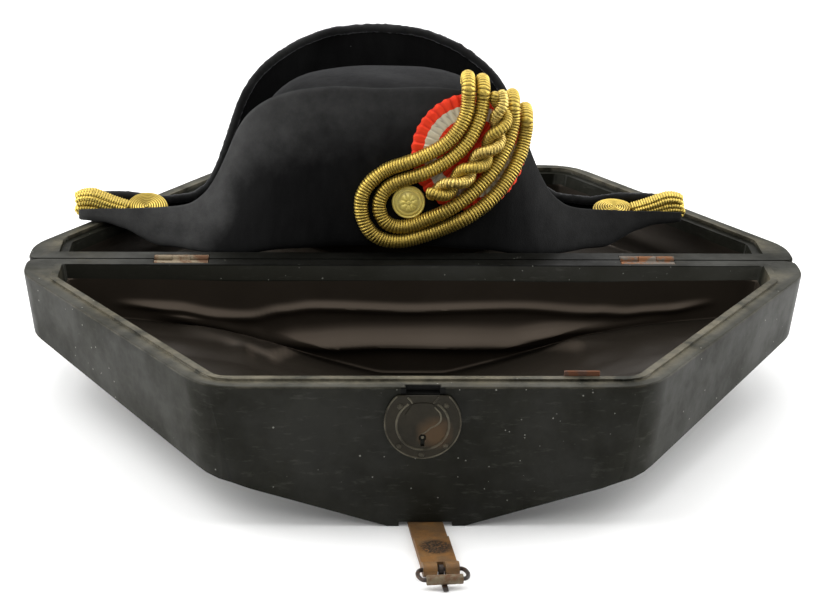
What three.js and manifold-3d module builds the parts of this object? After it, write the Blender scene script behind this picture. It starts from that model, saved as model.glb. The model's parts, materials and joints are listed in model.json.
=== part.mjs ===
// A naval officer's cocked hat in black felt, standing in one half of its open lacquered case.
// Millimetres, +Z up. The origin is the centre of the flat foot under the case's back half, the tray.
// The front half, the lid, swings up about the hinge line, and +X runs along that line.

import * as THREE from 'three';
import { mergeVertices } from 'three/addons/utils/BufferGeometryUtils.js';
import Module from 'manifold-3d';

const wasm = await Module();
wasm.setup();

// Sizes of the case. Each half is wide at the hinge, where it has short straight ends, and its
// slanted sides run from there to a narrow far side.
const CASE_HALF_WIDE = 272;
const CASE_HALF_NARROW = 137;
const CASE_DEPTH = 250;
const CASE_END = 33;
const CASE_RIM = 92;
const CASE_WALL = 15;
const END_BLOCK = 11;
const CASE_FLOOR = 10;
const HINGE_GAP = 2;
const HINGE_CORNER = 8;
const END_CORNER = 14;
const NARROW_CORNER = 22;
const LEAST_CORNER = 2;
const CORNER_STEPS = 4;
const TONGUE_WIDE = 5;
const TONGUE_HIGH = 2.6;
const TONGUE_START = 16;
const TONGUE_SLACK = 0.6;
const CUT_PAST = 1;

// The two halves, which side of the hinge line each lies on, and its wall along that line.
const TRAY = { side: 1, hingeWall: 15 };
const LID = { side: -1, hingeWall: 12 };

// The underside of the case, from its middle outwards: a flat foot, then two slopes.
const UNDERSIDE = [
  { x: 24, z: 0 },
  { x: 126, z: 32 },
  { x: 290, z: 43 },
];

// Cloth lining of each half, a thin tub inside the walls.
const LINING_GAP = 0.4;
const LINING_THICK = 1.2;
const LINING_BELOW_RIM = 11;

// Hinges on the rims.
const HINGE_CENTRES = { left: -164, right: 166 };
const HINGE_LONG = 38;
const LEAF_WIDE = 8;
const LEAF_THICK = 1.8;
const BARREL_RADIUS = 2.6;
const PIN_RADIUS = 1.2;
const KNUCKLE_GAP = 0.4;
const SEAT_GAP = 0.3;
const SEAT_SLACK = 0.5;
const GROOVE_SLACK = 0.8;
const WEB_START = 1.4;
const WEB_LAP = 0.5;

// Lock on the lid's front, and the small catch plate inside it.
const LOCK_X = -3;
const LOCK_Z = 69.5;
const LOCK_RADIUS = 23.7;
const LOCK_THICK = 1.6;
const LOCK_RING_RADIUS = 16;
const LOCK_RING_HIGH = 2.2;
const RIVET_RADIUS = 1.8;
const RIVET_HIGH = 1;
const RIVET_INSET = 4;
const RIVET_ANGLES = [-150, -90, -30, 35, 145];
const KEYHOLE = { radius: 2.2, slotHalf: 1.2, below: 9, slotTo: 14.5 };
const HASP_WIDE = 20.5;
const HASP_DEEP = 4.5;
const HASP_CLEAR = 0.5;
const CATCH_X = 95;
const CATCH_SIZE = { x: 22, y: 1.6, z: 11 };
const CATCH_ABOVE = 2;

// Strap and roller buckle at the lid's foot.
const STRAP_WIDE = 21.5;
const STRAP_THICK = 2.4;
const STRAP_UNDER = 45;
const STRAP_SHORT = 5;
const STRAP_X = -0.2;
const STRAP_TURN = 5.2;
const STRAP_OUT = 70;
const STRAP_FOLD = 44;
const STRAP_BEND_STEPS = 8;
const RECESS_WIDE = 33;
const BAR_RADIUS = 1.3;
const ROLLER_RADIUS = 3;
const ROLLER_LONG = 21.6;
const BUCKLE_WIDE = 30;
const BUCKLE_LONG = 16.5;
const PRONG_WIDE = 3;
const PRONG_THICK = 1.7;
const PRONG_PAST = 6;
const PRONG_EYE = 1.2;
const PRONG_SLACK = 1;
const PRONG_SLOT = 4.5;
const BAR_EASE = 0.96;

// The hat's place: its middle at fold level, over the tray's rim.
const HAT_X = -21;
const HAT_BEHIND_HINGE = 94;
const FELT = 2.6;

// Sections of the folded brim, from the middle out to a tip, on both sides.
// x: distance from the middle. foot: half-width at the folds. low: height of the folds.
// mouth: half-width between the flaps' edges. front, back: heights of the two edges.
const BRIM = [
  { x: 0, foot: 80.5, low: 4.6, mouth: 67, front: 118, back: 134 },
  { x: 30, foot: 81, low: 4.3, mouth: 66.5, front: 119, back: 131.5 },
  { x: 55, foot: 81.5, low: 2.4, mouth: 64.5, front: 116.5, back: 123.5 },
  { x: 75, foot: 79, low: 0.5, mouth: 60, front: 110, back: 112 },
  { x: 90, foot: 73.5, low: -3.6, mouth: 55, front: 100, back: 98.5 },
  { x: 101, foot: 68, low: -6.8, mouth: 50, front: 86.5, back: 80 },
  { x: 108, foot: 64, low: -8.4, mouth: 46.5, front: 70, back: 60 },
  { x: 116, foot: 59.5, low: -9.5, mouth: 42, front: 50.5, back: 37 },
  { x: 126, foot: 54, low: -10.5, mouth: 37.5, front: 33, back: 18.5 },
  { x: 140, foot: 46, low: -10.8, mouth: 31, front: 21.5, back: 11.5 },
  { x: 160, foot: 35, low: -9.2, mouth: 22.5, front: 16.5, back: 11.5 },
  { x: 176, foot: 26.5, low: -3.8, mouth: 18.5, front: 14.5, back: 15 },
  { x: 190, foot: 20, low: 0.5, mouth: 15.5, front: 13, back: 17 },
  { x: 204, foot: 15, low: 1, mouth: 13, front: 12, back: 17.5 },
  { x: 224, foot: 10.5, low: 1.8, mouth: 10, front: 10, back: 16 },
];
// How far the middles of the flaps' edges lie from the hat's middle, along X.
const EDGE_SHIFT = { front: -2.5, back: -4 };
const FOLD_RADIUS = 7;
const FOLD_SHARE = 0.5;
const WALL_STEPS = 3;
const FOLD_STEPS = 2;
const BOTTOM_STEPS = 2;
const LONGEST_SPAN = 18;

// The crown, a domed oval inside the flaps, and the head's opening under it.
const CROWN_HALF_LONG = 97.5;
const CROWN_HALF_WIDE = 72.5;
const CROWN_TOP = 114;
const CROWN_ROUND_LONG = 3.6;
const CROWN_ROUND_WIDE = 3;
const CROWN_AROUND = 28;
const CROWN_RINGS = 8;
const CROWN_SEAT = 1;
const OPENING_SIDES = 40;
const OPENING_DEEP = 40;
const OPENING_MIDDLE = -8;

// Trim on the front flap.
const TRIM_GAP = 0.9;
const COCKADE_RINGS = [0.25, 0.62, 1];
const COCKADE = { x: 60.5, z: 72.5, radius: 41.5, thick: 1.6, pleat: 0.9, pleats: 30 };
const COCKADE_EASE = 0.4;
const COCKADE_RAMP = 10;
const CORD_RADIUS = 4.6;
const CORD_SIDES = 8;
const CORD_STEP = 7;
const EDGE_RISE = 3;
const EDGE_DROP = 1;
const STRAND_RADIUS = 3.55;
const TWIST_REACH = 4;
const TWIST_PITCH = 27;
const STRAND_STEP = 4.5;
const BUTTON = { x: 17.2, z: 38 };

// Turned profiles, from the back of the piece to its face. r: radius. h: height.
const BUTTON_PROFILE = [
  { r: 0, h: 0 }, { r: 4, h: 0 }, { r: 4, h: 2.5 }, { r: 10.8, h: 2.5 }, { r: 11.8, h: 3.3 },
  { r: 11.8, h: 4.3 }, { r: 10.5, h: 5 }, { r: 7.1, h: 6.4 }, { r: 3.5, h: 6.9 }, { r: 0, h: 7 },
];
const DISC_PROFILE = [
  { r: 0, h: 0 }, { r: 13, h: 0 }, { r: 14.5, h: 1.2 }, { r: 13.6, h: 2.4 }, { r: 10.4, h: 4 },
  { r: 5.8, h: 5.2 }, { r: 0, h: 5.5 },
];
const TURNED_SIDES = 20;

// Routes of the two wound cords, as x and z on the front flap, from one end at its edge to the other.
const LOOP_OUTER = [
  [58.5, 112], [57.5, 103], [54, 94], [48.5, 86], [41, 79.5], [30, 73.5], [17, 68], [3, 62],
  [-8.5, 54], [-15, 44.5], [-16.3, 34.5], [-14, 24.5], [-8, 16], [2, 11.2], [14, 11],
  [28, 14.8], [43, 20.6], [57, 28], [70, 36], [80.5, 45], [88.8, 55], [95, 65.5], [99, 76], [101, 87],
];
const LOOP_INNER = [
  [69, 111], [67.8, 102], [64.5, 92.5], [59, 82.5], [50.5, 73.5], [39.5, 66], [27, 60], [13, 54.8],
  [2.2, 48.5], [-3, 40], [-3, 31.5], [1.2, 24.4], [9, 21.1], [20, 22.2], [33, 28], [45, 34.2],
  [57, 42], [68, 51], [77.2, 61], [84, 72], [88.8, 83], [91, 93],
];
const TWIST = [
  [82, 111], [81.5, 103], [80.5, 95], [78, 86], [72, 77], [65, 69], [57, 61], [48, 54.6], [38, 49.5],
];

// Bullion tassels in the gutters at the tips.
const TASSEL_FROM = 189;
const TASSEL_TO = 226.5;
const BULLION_RADIUS = 3.25;
const BULLION_CORE = 5;
const BULLION_SAG = 0.6;
const BULLION_ARCH = 0.8;
const BULLION_GATHER = 0.62;
const BULLION_SIDES = 6;
const BULLION_STEP = 19;
const BULLION_ROWS = [
  { z: 7.8, across: [-4.8, 0, 4.8] },
  { z: 12.5, across: [-6, -2, 2, 6] },
  { z: 17.2, across: [-4.4, 0, 4.4] },
];
const TASSEL_DISC = { x: 173, y: 0.5, z: 6.4, lean: 30 };

const HINGE_Y = -(CASE_DEPTH + HINGE_GAP / 2) / 2;
const SLOPE = (CASE_HALF_WIDE - CASE_HALF_NARROW) / (CASE_DEPTH - CASE_END);
const SLANT = Math.hypot(1, SLOPE);

function material(color, roughness, metalness) {
  return new THREE.MeshStandardMaterial({ color, roughness, metalness });
}

const felt = () => material(0x15151a, 0.92, 0);
const lacquer = () => material(0x23241f, 0.42, 0);
const cloth = () => material(0x2a1d16, 0.88, 0);
const gold = () => material(0xb08a3a, 0.42, 0.85);
const rust = () => material(0x6b3f2a, 0.75, 0.5);
const bronze = () => material(0x3d3429, 0.5, 0.8);
const iron = () => material(0x33251d, 0.65, 0.7);
const leather = () => material(0x6e4a2c, 0.7, 0);
const silk = () => material(0xd8311c, 0.5, 0);

// A closed geometry as a solid that can be joined and cut.
function toSolid(geometry) {
  const bare = geometry.clone();
  bare.deleteAttribute('normal');
  bare.deleteAttribute('uv');
  const merged = mergeVertices(bare, 1e-4);
  const vertProperties = new Float32Array(merged.attributes.position.array);
  const triVerts = new Uint32Array(merged.index.array);
  return new wasm.Manifold(new wasm.Mesh({ numProp: 3, vertProperties, triVerts }));
}

function toGeometry(solid) {
  const mesh = solid.getMesh();
  const geometry = new THREE.BufferGeometry();
  geometry.setAttribute('position', new THREE.BufferAttribute(mesh.vertProperties, 3));
  geometry.setIndex(new THREE.BufferAttribute(mesh.triVerts, 1));
  return geometry;
}

function joined(geometries) {
  return geometries.map(toSolid).reduce((whole, piece) => whole.add(piece));
}

function piece(name, geometry, finish) {
  const mesh = new THREE.Mesh(geometry, finish);
  mesh.name = name;
  return mesh;
}

function box(x0, x1, y0, y1, z0, z1) {
  const geometry = new THREE.BoxGeometry(x1 - x0, y1 - y0, z1 - z0);
  return geometry.translate((x0 + x1) / 2, (y0 + y1) / 2, (z0 + z1) / 2);
}

// A cylinder along X, Y or Z, centred on a point.
function rod(radius, length, axis, centre, sides = 12) {
  const geometry = new THREE.CylinderGeometry(radius, radius, length, sides);
  if (axis === 'x') geometry.rotateZ(Math.PI / 2);
  if (axis === 'z') geometry.rotateX(Math.PI / 2);
  return geometry.translate(...centre);
}

// A shape through corners of x, y and the length that is cut off each side of the corner.
function roundedShape(corners) {
  const shape = new THREE.Shape();
  corners.forEach(([x, y, cut], i) => {
    const corner = new THREE.Vector2(x, y);
    const [px, py] = corners[(i + corners.length - 1) % corners.length];
    const [nx, ny] = corners[(i + 1) % corners.length];
    const before = new THREE.Vector2(px, py).sub(corner).setLength(cut).add(corner);
    const after = new THREE.Vector2(nx, ny).sub(corner).setLength(cut).add(corner);
    if (i === 0) shape.moveTo(before.x, before.y);
    else shape.lineTo(before.x, before.y);
    shape.quadraticCurveTo(x, y, after.x, after.y);
  });
  shape.closePath();
  return shape;
}

// Case

// The plan of one half as a prism between two heights, drawn in by an inset all round. The short
// end walls are thicker than the rest, so they are drawn in further.
// near, turn and far are distances from the hinge line: of its wall, of the ends' corners with the
// slanted sides, and of the far side.
function casePrism(half, inset, z0, z1) {
  const near = HINGE_GAP / 2 + Math.max(inset - (CASE_WALL - half.hingeWall), 0);
  const endInset = inset > 0 ? inset + END_BLOCK : 0;
  const turn = CASE_END + (endInset - inset * SLANT) / SLOPE;
  const far = CASE_DEPTH - inset;
  const wide = CASE_HALF_WIDE - endInset;
  const narrow = CASE_HALF_WIDE - (far - CASE_END) * SLOPE - inset * SLANT;
  const cut = (corner) => Math.max(corner - inset, LEAST_CORNER);
  const shape = roundedShape([
    [-wide, HINGE_Y + half.side * near, cut(HINGE_CORNER)],
    [wide, HINGE_Y + half.side * near, cut(HINGE_CORNER)],
    [wide, HINGE_Y + half.side * turn, cut(END_CORNER)],
    [narrow, HINGE_Y + half.side * far, cut(NARROW_CORNER)],
    [-narrow, HINGE_Y + half.side * far, cut(NARROW_CORNER)],
    [-wide, HINGE_Y + half.side * turn, cut(END_CORNER)],
  ]);
  const options = { depth: z1 - z0, bevelEnabled: false, curveSegments: CORNER_STEPS };
  return new THREE.ExtrudeGeometry(shape, options).translate(0, 0, z0);
}

// Everything above the case's underside, raised by a lift, over the whole depth of both halves.
function aboveUnderside(lift) {
  const right = UNDERSIDE.map(({ x, z }) => new THREE.Vector2(x, z + lift));
  const left = [...right].reverse().map((p) => new THREE.Vector2(-p.x, p.y));
  const last = UNDERSIDE[UNDERSIDE.length - 1].x;
  const top = [new THREE.Vector2(last, CASE_RIM * 2), new THREE.Vector2(-last, CASE_RIM * 2)];
  const shape = new THREE.Shape([...right, ...top, ...left]);
  const length = CASE_DEPTH * 4;
  const prism = new THREE.ExtrudeGeometry(shape, { depth: length, bevelEnabled: false });
  return prism.rotateX(Math.PI / 2).translate(0, HINGE_Y + length / 2, 0);
}

function caseHollow(half, inset, lift, z1) {
  return toSolid(casePrism(half, inset, -CUT_PAST, z1)).intersect(toSolid(aboveUnderside(lift)));
}

// The ring that the lid's tongue and the tray's rabbet share, away from the hinge side.
function tongueRing(half, slack, z0, z1) {
  const outer = toSolid(casePrism(half, CASE_WALL - TONGUE_WIDE - slack, z0, z1));
  const inner = toSolid(casePrism(half, CASE_WALL, z0 - CUT_PAST, z1 + CUT_PAST));
  const start = TONGUE_START - slack;
  const reach = CASE_HALF_WIDE * 2;
  const hingeSide = box(-reach, reach, HINGE_Y - start, HINGE_Y + start,
    z0 - CUT_PAST, z1 + CUT_PAST);
  return outer.subtract(inner).subtract(toSolid(hingeSide));
}

// Room for the hinges: a shallow seat for each leaf and a groove for the barrel.
function hingeSeats(shell) {
  return Object.values(HINGE_CENTRES).reduce((solid, x) => {
    const half = HINGE_LONG / 2 + SEAT_SLACK;
    const reach = LEAF_WIDE + HINGE_GAP / 2 + SEAT_SLACK;
    const seat = box(x - half, x + half, HINGE_Y - reach, HINGE_Y + reach,
      CASE_RIM - LEAF_THICK - SEAT_GAP, CASE_RIM + CUT_PAST);
    const groove = rod(BARREL_RADIUS + GROOVE_SLACK, half * 2, 'x', [x, HINGE_Y, CASE_RIM]);
    return solid.subtract(toSolid(seat)).subtract(toSolid(groove));
  }, shell);
}

function caseShell(half) {
  const outer = caseHollow(half, 0, 0, CASE_RIM);
  const inner = caseHollow(half, CASE_WALL, CASE_FLOOR, CASE_RIM + CUT_PAST);
  return hingeSeats(outer.subtract(inner));
}

function trayShell() {
  const rabbet = tongueRing(TRAY, TONGUE_SLACK, CASE_RIM - TONGUE_HIGH - TONGUE_SLACK,
    CASE_RIM + CUT_PAST);
  return piece('tray_shell', toGeometry(caseShell(TRAY).subtract(rabbet)), lacquer());
}

function lidShell() {
  const front = HINGE_Y - CASE_DEPTH;
  const tongue = tongueRing(LID, 0, CASE_RIM - CUT_PAST, CASE_RIM + TONGUE_HIGH);
  const hasp = box(LOCK_X - HASP_WIDE / 2, LOCK_X + HASP_WIDE / 2, front - CUT_PAST,
    front + HASP_DEEP, CASE_RIM - HASP_DEEP, CASE_RIM + CUT_PAST);
  const recess = box(STRAP_X - RECESS_WIDE / 2, STRAP_X + RECESS_WIDE / 2, front - CUT_PAST,
    front + STRAP_UNDER, -CUT_PAST, STRAP_THICK + SEAT_GAP);
  const solid = caseShell(LID).add(tongue).subtract(toSolid(hasp)).subtract(toSolid(recess));
  return piece('lid_shell', toGeometry(solid), lacquer());
}

function lining(name, half) {
  const top = CASE_RIM - LINING_BELOW_RIM;
  const inset = CASE_WALL + LINING_GAP;
  const lift = CASE_FLOOR + LINING_GAP;
  const outside = caseHollow(half, inset, lift, top);
  const inside = caseHollow(half, inset + LINING_THICK, lift + LINING_THICK, top + CUT_PAST);
  return piece(name, toGeometry(outside.subtract(inside)), cloth());
}

// One leaf of a hinge, lying in its seat on the rim, with its knuckles round the hinge line.
// The tray's leaf has the two outer knuckles and the pin, and the lid's leaf the middle one.
function hingeLeaf(name, side, x) {
  const third = HINGE_LONG / 3;
  const knuckle = third - KNUCKLE_GAP;
  const half = HINGE_LONG / 2;
  const z0 = CASE_RIM - LEAF_THICK;
  const edges = [HINGE_Y + side * (BARREL_RADIUS + GROOVE_SLACK),
    HINGE_Y + side * (LEAF_WIDE + HINGE_GAP / 2)];
  const leaf = box(x - half, x + half, Math.min(...edges), Math.max(...edges), z0, CASE_RIM);
  const spots = side > 0 ? [x - third, x + third] : [x];
  const web = (at) => {
    const ends = [HINGE_Y + side * WEB_START, edges[0] + side * WEB_LAP];
    return box(at - knuckle / 2, at + knuckle / 2, Math.min(...ends), Math.max(...ends), z0, CASE_RIM);
  };
  const knuckles = spots.map((at) => rod(BARREL_RADIUS, knuckle, 'x', [at, HINGE_Y, CASE_RIM]));
  let solid = joined([leaf, ...spots.map(web), ...knuckles]);
  const pin = (radius, length) => toSolid(rod(radius, length, 'x', [x, HINGE_Y, CASE_RIM]));
  if (side > 0) solid = solid.add(pin(PIN_RADIUS, HINGE_LONG - KNUCKLE_GAP * 2));
  else solid = solid.subtract(pin(PIN_RADIUS + KNUCKLE_GAP, HINGE_LONG));
  return piece(name, toGeometry(solid), rust());
}

// The lock: a round plate cut off straight below the hasp's slot, a raised disc, rivets and a keyhole.
function lockPlate() {
  const face = HINGE_Y - CASE_DEPTH - SEAT_GAP;
  const back = (thick) => face - thick / 2;
  const plate = rod(LOCK_RADIUS, LOCK_THICK, 'y', [LOCK_X, back(LOCK_THICK), LOCK_Z], 32);
  const flatTop = box(LOCK_X - LOCK_RADIUS, LOCK_X + LOCK_RADIUS, face - LOCK_RADIUS, face + CUT_PAST,
    CASE_RIM - HASP_DEEP - HASP_CLEAR, CASE_RIM + LOCK_RADIUS);
  const ringThick = LOCK_THICK + LOCK_RING_HIGH;
  const ring = rod(LOCK_RING_RADIUS, ringThick, 'y', [LOCK_X, back(ringThick), LOCK_Z], 24);
  const rivets = RIVET_ANGLES.map((angle) => {
    const a = THREE.MathUtils.degToRad(angle);
    const reach = LOCK_RADIUS - RIVET_INSET;
    const thick = LOCK_THICK + RIVET_HIGH;
    const spot = [LOCK_X + reach * Math.cos(a), back(thick), LOCK_Z + reach * Math.sin(a)];
    return rod(RIVET_RADIUS, thick, 'y', spot, 8);
  });
  const keyhole = joined([
    rod(KEYHOLE.radius, ringThick * 3, 'y', [LOCK_X, face, LOCK_Z - KEYHOLE.below]),
    box(LOCK_X - KEYHOLE.slotHalf, LOCK_X + KEYHOLE.slotHalf, face - ringThick * 2, face + CUT_PAST,
      LOCK_Z - KEYHOLE.slotTo, LOCK_Z - KEYHOLE.below),
  ]);
  const solid = joined([plate, ring, ...rivets]).subtract(keyhole).subtract(toSolid(flatTop));
  return piece('lock_plate', toGeometry(solid), bronze());
}

function catchPlate() {
  const inside = HINGE_Y - CASE_DEPTH + CASE_WALL + SEAT_GAP;
  const top = CASE_RIM + TONGUE_HIGH + CATCH_ABOVE;
  const { x, y, z } = CATCH_SIZE;
  const plate = box(CATCH_X - x / 2, CATCH_X + x / 2, inside, inside + y, top - z, top);
  return piece('catch_plate', plate, rust());
}

// Strap and buckle, made along -Y from the lid's front edge and turned a little where they leave it.
function strapAndBuckle() {
  const group = new THREE.Group();
  group.position.set(STRAP_X, HINGE_Y - CASE_DEPTH, 0);
  group.rotation.z = THREE.MathUtils.degToRad(STRAP_TURN);
  const eye = BAR_RADIUS + SEAT_GAP;
  const nose = eye + STRAP_THICK;
  const barY = -STRAP_OUT;

  // The strap's side view: one layer on the floor, folded back round the buckle's bar.
  const side = new THREE.Shape();
  side.moveTo(STRAP_UNDER - STRAP_SHORT, 0);
  side.lineTo(STRAP_UNDER - STRAP_SHORT, STRAP_THICK);
  side.lineTo(barY + STRAP_FOLD, STRAP_THICK);
  side.lineTo(barY + STRAP_FOLD, STRAP_THICK * 2);
  side.lineTo(barY + 2 * nose, STRAP_THICK * 2);
  side.quadraticCurveTo(barY + nose, 2 * nose, barY, 2 * nose);
  side.absarc(barY, nose, nose, Math.PI / 2, Math.PI * 1.5, false);
  side.closePath();
  const hole = new THREE.Path();
  hole.absarc(barY, nose, eye, 0, Math.PI * 2, true);
  side.holes.push(hole);
  const slabOptions = { depth: STRAP_WIDE, bevelEnabled: false, curveSegments: STRAP_BEND_STEPS };
  const slab = new THREE.ExtrudeGeometry(side, slabOptions);
  const upright = new THREE.Matrix4().makeBasis(
    new THREE.Vector3(0, 1, 0), new THREE.Vector3(0, 0, 1), new THREE.Vector3(1, 0, 0));
  slab.applyMatrix4(upright).translate(-STRAP_WIDE / 2, 0, 0);
  const slotHalf = PRONG_WIDE / 2 + PRONG_SLACK;
  const slot = box(-slotHalf, slotHalf, barY - nose - CUT_PAST, barY + nose + PRONG_SLOT,
    -CUT_PAST, nose * 2 + CUT_PAST);
  group.add(piece('strap', toGeometry(toSolid(slab).subtract(toSolid(slot))), leather()));

  // The frame hangs on the bar, and its roller lies on the prong, which lies on the floor.
  const frame = new THREE.Group();
  const prongTop = SEAT_GAP + PRONG_THICK;
  frame.position.set(0, barY, nose);
  frame.rotation.x = Math.asin((nose - prongTop - SEAT_GAP - ROLLER_RADIUS) / BUCKLE_LONG);
  const half = BUCKLE_WIDE / 2;
  const sideBar = (x) => box(x - BAR_RADIUS, x + BAR_RADIUS, -BUCKLE_LONG - BAR_RADIUS, BAR_RADIUS,
    -BAR_RADIUS, BAR_RADIUS);
  const ends = half - BAR_RADIUS;
  const bars = [
    rod(BAR_RADIUS * BAR_EASE, ends * 2, 'x', [0, 0, 0]),
    rod(BAR_RADIUS * BAR_EASE, ends * 2, 'x', [0, -BUCKLE_LONG, 0]),
  ];
  frame.add(piece('buckle_frame', toGeometry(joined([sideBar(-ends), sideBar(ends), ...bars])), iron()));
  const tube = toSolid(rod(ROLLER_RADIUS, ROLLER_LONG, 'x', [0, -BUCKLE_LONG, 0], 14));
  const bore = toSolid(rod(BAR_RADIUS + SEAT_GAP, ROLLER_LONG + 2, 'x', [0, -BUCKLE_LONG, 0], 14));
  frame.add(piece('buckle_roller', toGeometry(tube.subtract(bore)), leather()));

  group.add(frame);

  // The prong: an eye round the bar, and a tongue that runs out under the roller.
  const eyeOuter = BAR_RADIUS + SEAT_GAP + PRONG_EYE;
  const prongParts = [
    rod(eyeOuter, PRONG_WIDE, 'x', [0, barY, nose]),
    box(-PRONG_WIDE / 2, PRONG_WIDE / 2, barY - BUCKLE_LONG - PRONG_PAST, barY, SEAT_GAP, prongTop),
  ];
  const prongBore = toSolid(rod(BAR_RADIUS + SEAT_GAP, PRONG_WIDE * 3, 'x', [0, barY, nose]));
  group.add(piece('buckle_prong', toGeometry(joined(prongParts).subtract(prongBore)), iron()));
  return group;
}

// Hat

// Read one column of the brim's sections at a distance from the middle, on a smooth curve
// that doesn't swing past the rows' own values.
function brimAt(column, x) {
  const at = Math.min(Math.abs(x - (EDGE_SHIFT[column] ?? 0)), BRIM[BRIM.length - 1].x);
  const last = BRIM.length - 2;
  const i = Math.min(BRIM.findLastIndex((row) => row.x <= at), last);
  const rise = (j) => (BRIM[j + 1][column] - BRIM[j][column]) / (BRIM[j + 1].x - BRIM[j].x);
  const slope = (j) => {
    if (j === 0) return 0;
    if (j > last) return rise(last);
    const a = rise(j - 1);
    const b = rise(j);
    return a * b <= 0 ? 0 : (2 * a * b) / (a + b);
  };
  const span = BRIM[i + 1].x - BRIM[i].x;
  const t = (at - BRIM[i].x) / span;
  const start = (1 + 2 * t) * (1 - t) ** 2 * BRIM[i][column] + t * (1 - t) ** 2 * span * slope(i);
  const end = t * t * (3 - 2 * t) * BRIM[i + 1][column] + t * t * (t - 1) * span * slope(i + 1);
  return start + end;
}

// The front flap's outer face at a distance along the hat and a height.
function frontFace(x, z) {
  const [foot, low, mouth, front] = ['foot', 'low', 'mouth', 'front'].map((c) => brimAt(c, x));
  const t = Math.min((z - low) / (front - low), 1);
  return -(foot + (mouth - foot) * t);
}

// One flap, half the bottom and the fold between them, as y and z from the edge to the middle.
// thick is 0 for the felt's outer face and the felt's thickness for its inner face.
function brimHalf(x, edge, thick) {
  const foot = brimAt('foot', x);
  const low = brimAt('low', x);
  const mouth = brimAt('mouth', x);
  const top = brimAt(edge, x);
  const round = Math.min(FOLD_RADIUS, foot * FOLD_SHARE, (top - low) * FOLD_SHARE);
  const wall = (z) => foot + ((mouth - foot) * (z - low)) / (top - low) - thick;
  const bend = low + round;
  const points = [];
  for (let i = 0; i < WALL_STEPS; i += 1) {
    const z = top + ((bend - top) * i) / WALL_STEPS;
    points.push([wall(z), z]);
  }
  const fold = new THREE.QuadraticBezierCurve(
    new THREE.Vector2(wall(bend), bend),
    new THREE.Vector2(wall(low + thick), low + thick),
    new THREE.Vector2(foot - round, low + thick));
  fold.getPoints(FOLD_STEPS).forEach((p) => points.push([p.x, p.y]));
  for (let i = 1; i < BOTTOM_STEPS; i += 1) {
    points.push([(foot - round) * (1 - i / BOTTOM_STEPS), low + thick]);
  }
  return points;
}

// A closed ring of y and z round the felt's section: outer face from front to back, then inner back.
function brimRing(x) {
  const face = (thick) => {
    const front = brimHalf(x, 'front', thick).map(([y, z]) => [-y, z]);
    const back = brimHalf(x, 'back', thick).reverse();
    const middle = [0, brimAt('low', x) + thick];
    return [...front, middle, ...back];
  };
  return [...face(0), ...face(FELT).reverse()];
}

// Skin a row of closed rings of points, all of one count, and close both ends with flat caps.
function skin(rings, capTriangles) {
  const count = rings[0].length;
  const positions = rings.flat().flatMap((p) => p);
  const index = [];
  for (let r = 0; r + 1 < rings.length; r += 1) {
    for (let k = 0; k < count; k += 1) {
      const a = r * count + k;
      const b = r * count + ((k + 1) % count);
      index.push(a, b, a + count, b, b + count, a + count);
    }
  }
  const end = (rings.length - 1) * count;
  capTriangles.forEach(([a, b, c]) => {
    index.push(a, c, b);
    index.push(end + a, end + b, end + c);
  });
  const geometry = new THREE.BufferGeometry();
  geometry.setAttribute('position', new THREE.Float32BufferAttribute(positions, 3));
  geometry.setIndex(index);
  return geometry;
}

function brim() {
  const stations = [];
  BRIM.forEach((row, i) => {
    stations.push(row.x);
    const next = BRIM[i + 1];
    if (next && next.x - row.x > LONGEST_SPAN) stations.push((row.x + next.x) / 2);
  });
  const all = [...stations.slice(1).reverse().map((x) => -x), ...stations];
  const rings = all.map((x) => brimRing(x).map(([y, z]) => [x, y, z]));
  const count = rings[0].length;
  const cap = [];
  for (let k = 0; k + 1 < count / 2; k += 1) {
    cap.push([k, k + 1, count - 1 - k]);
    cap.push([k + 1, count - 2 - k, count - 1 - k]);
  }
  const shell = toSolid(skin(rings, cap));
  const opening = new THREE.CylinderGeometry(1, 1, OPENING_DEEP, OPENING_SIDES).rotateX(Math.PI / 2);
  opening.scale(CROWN_HALF_LONG - FELT, CROWN_HALF_WIDE - FELT, 1).translate(0, 0, OPENING_MIDDLE);
  return piece('brim', toGeometry(shell.subtract(toSolid(opening))), felt());
}

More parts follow.
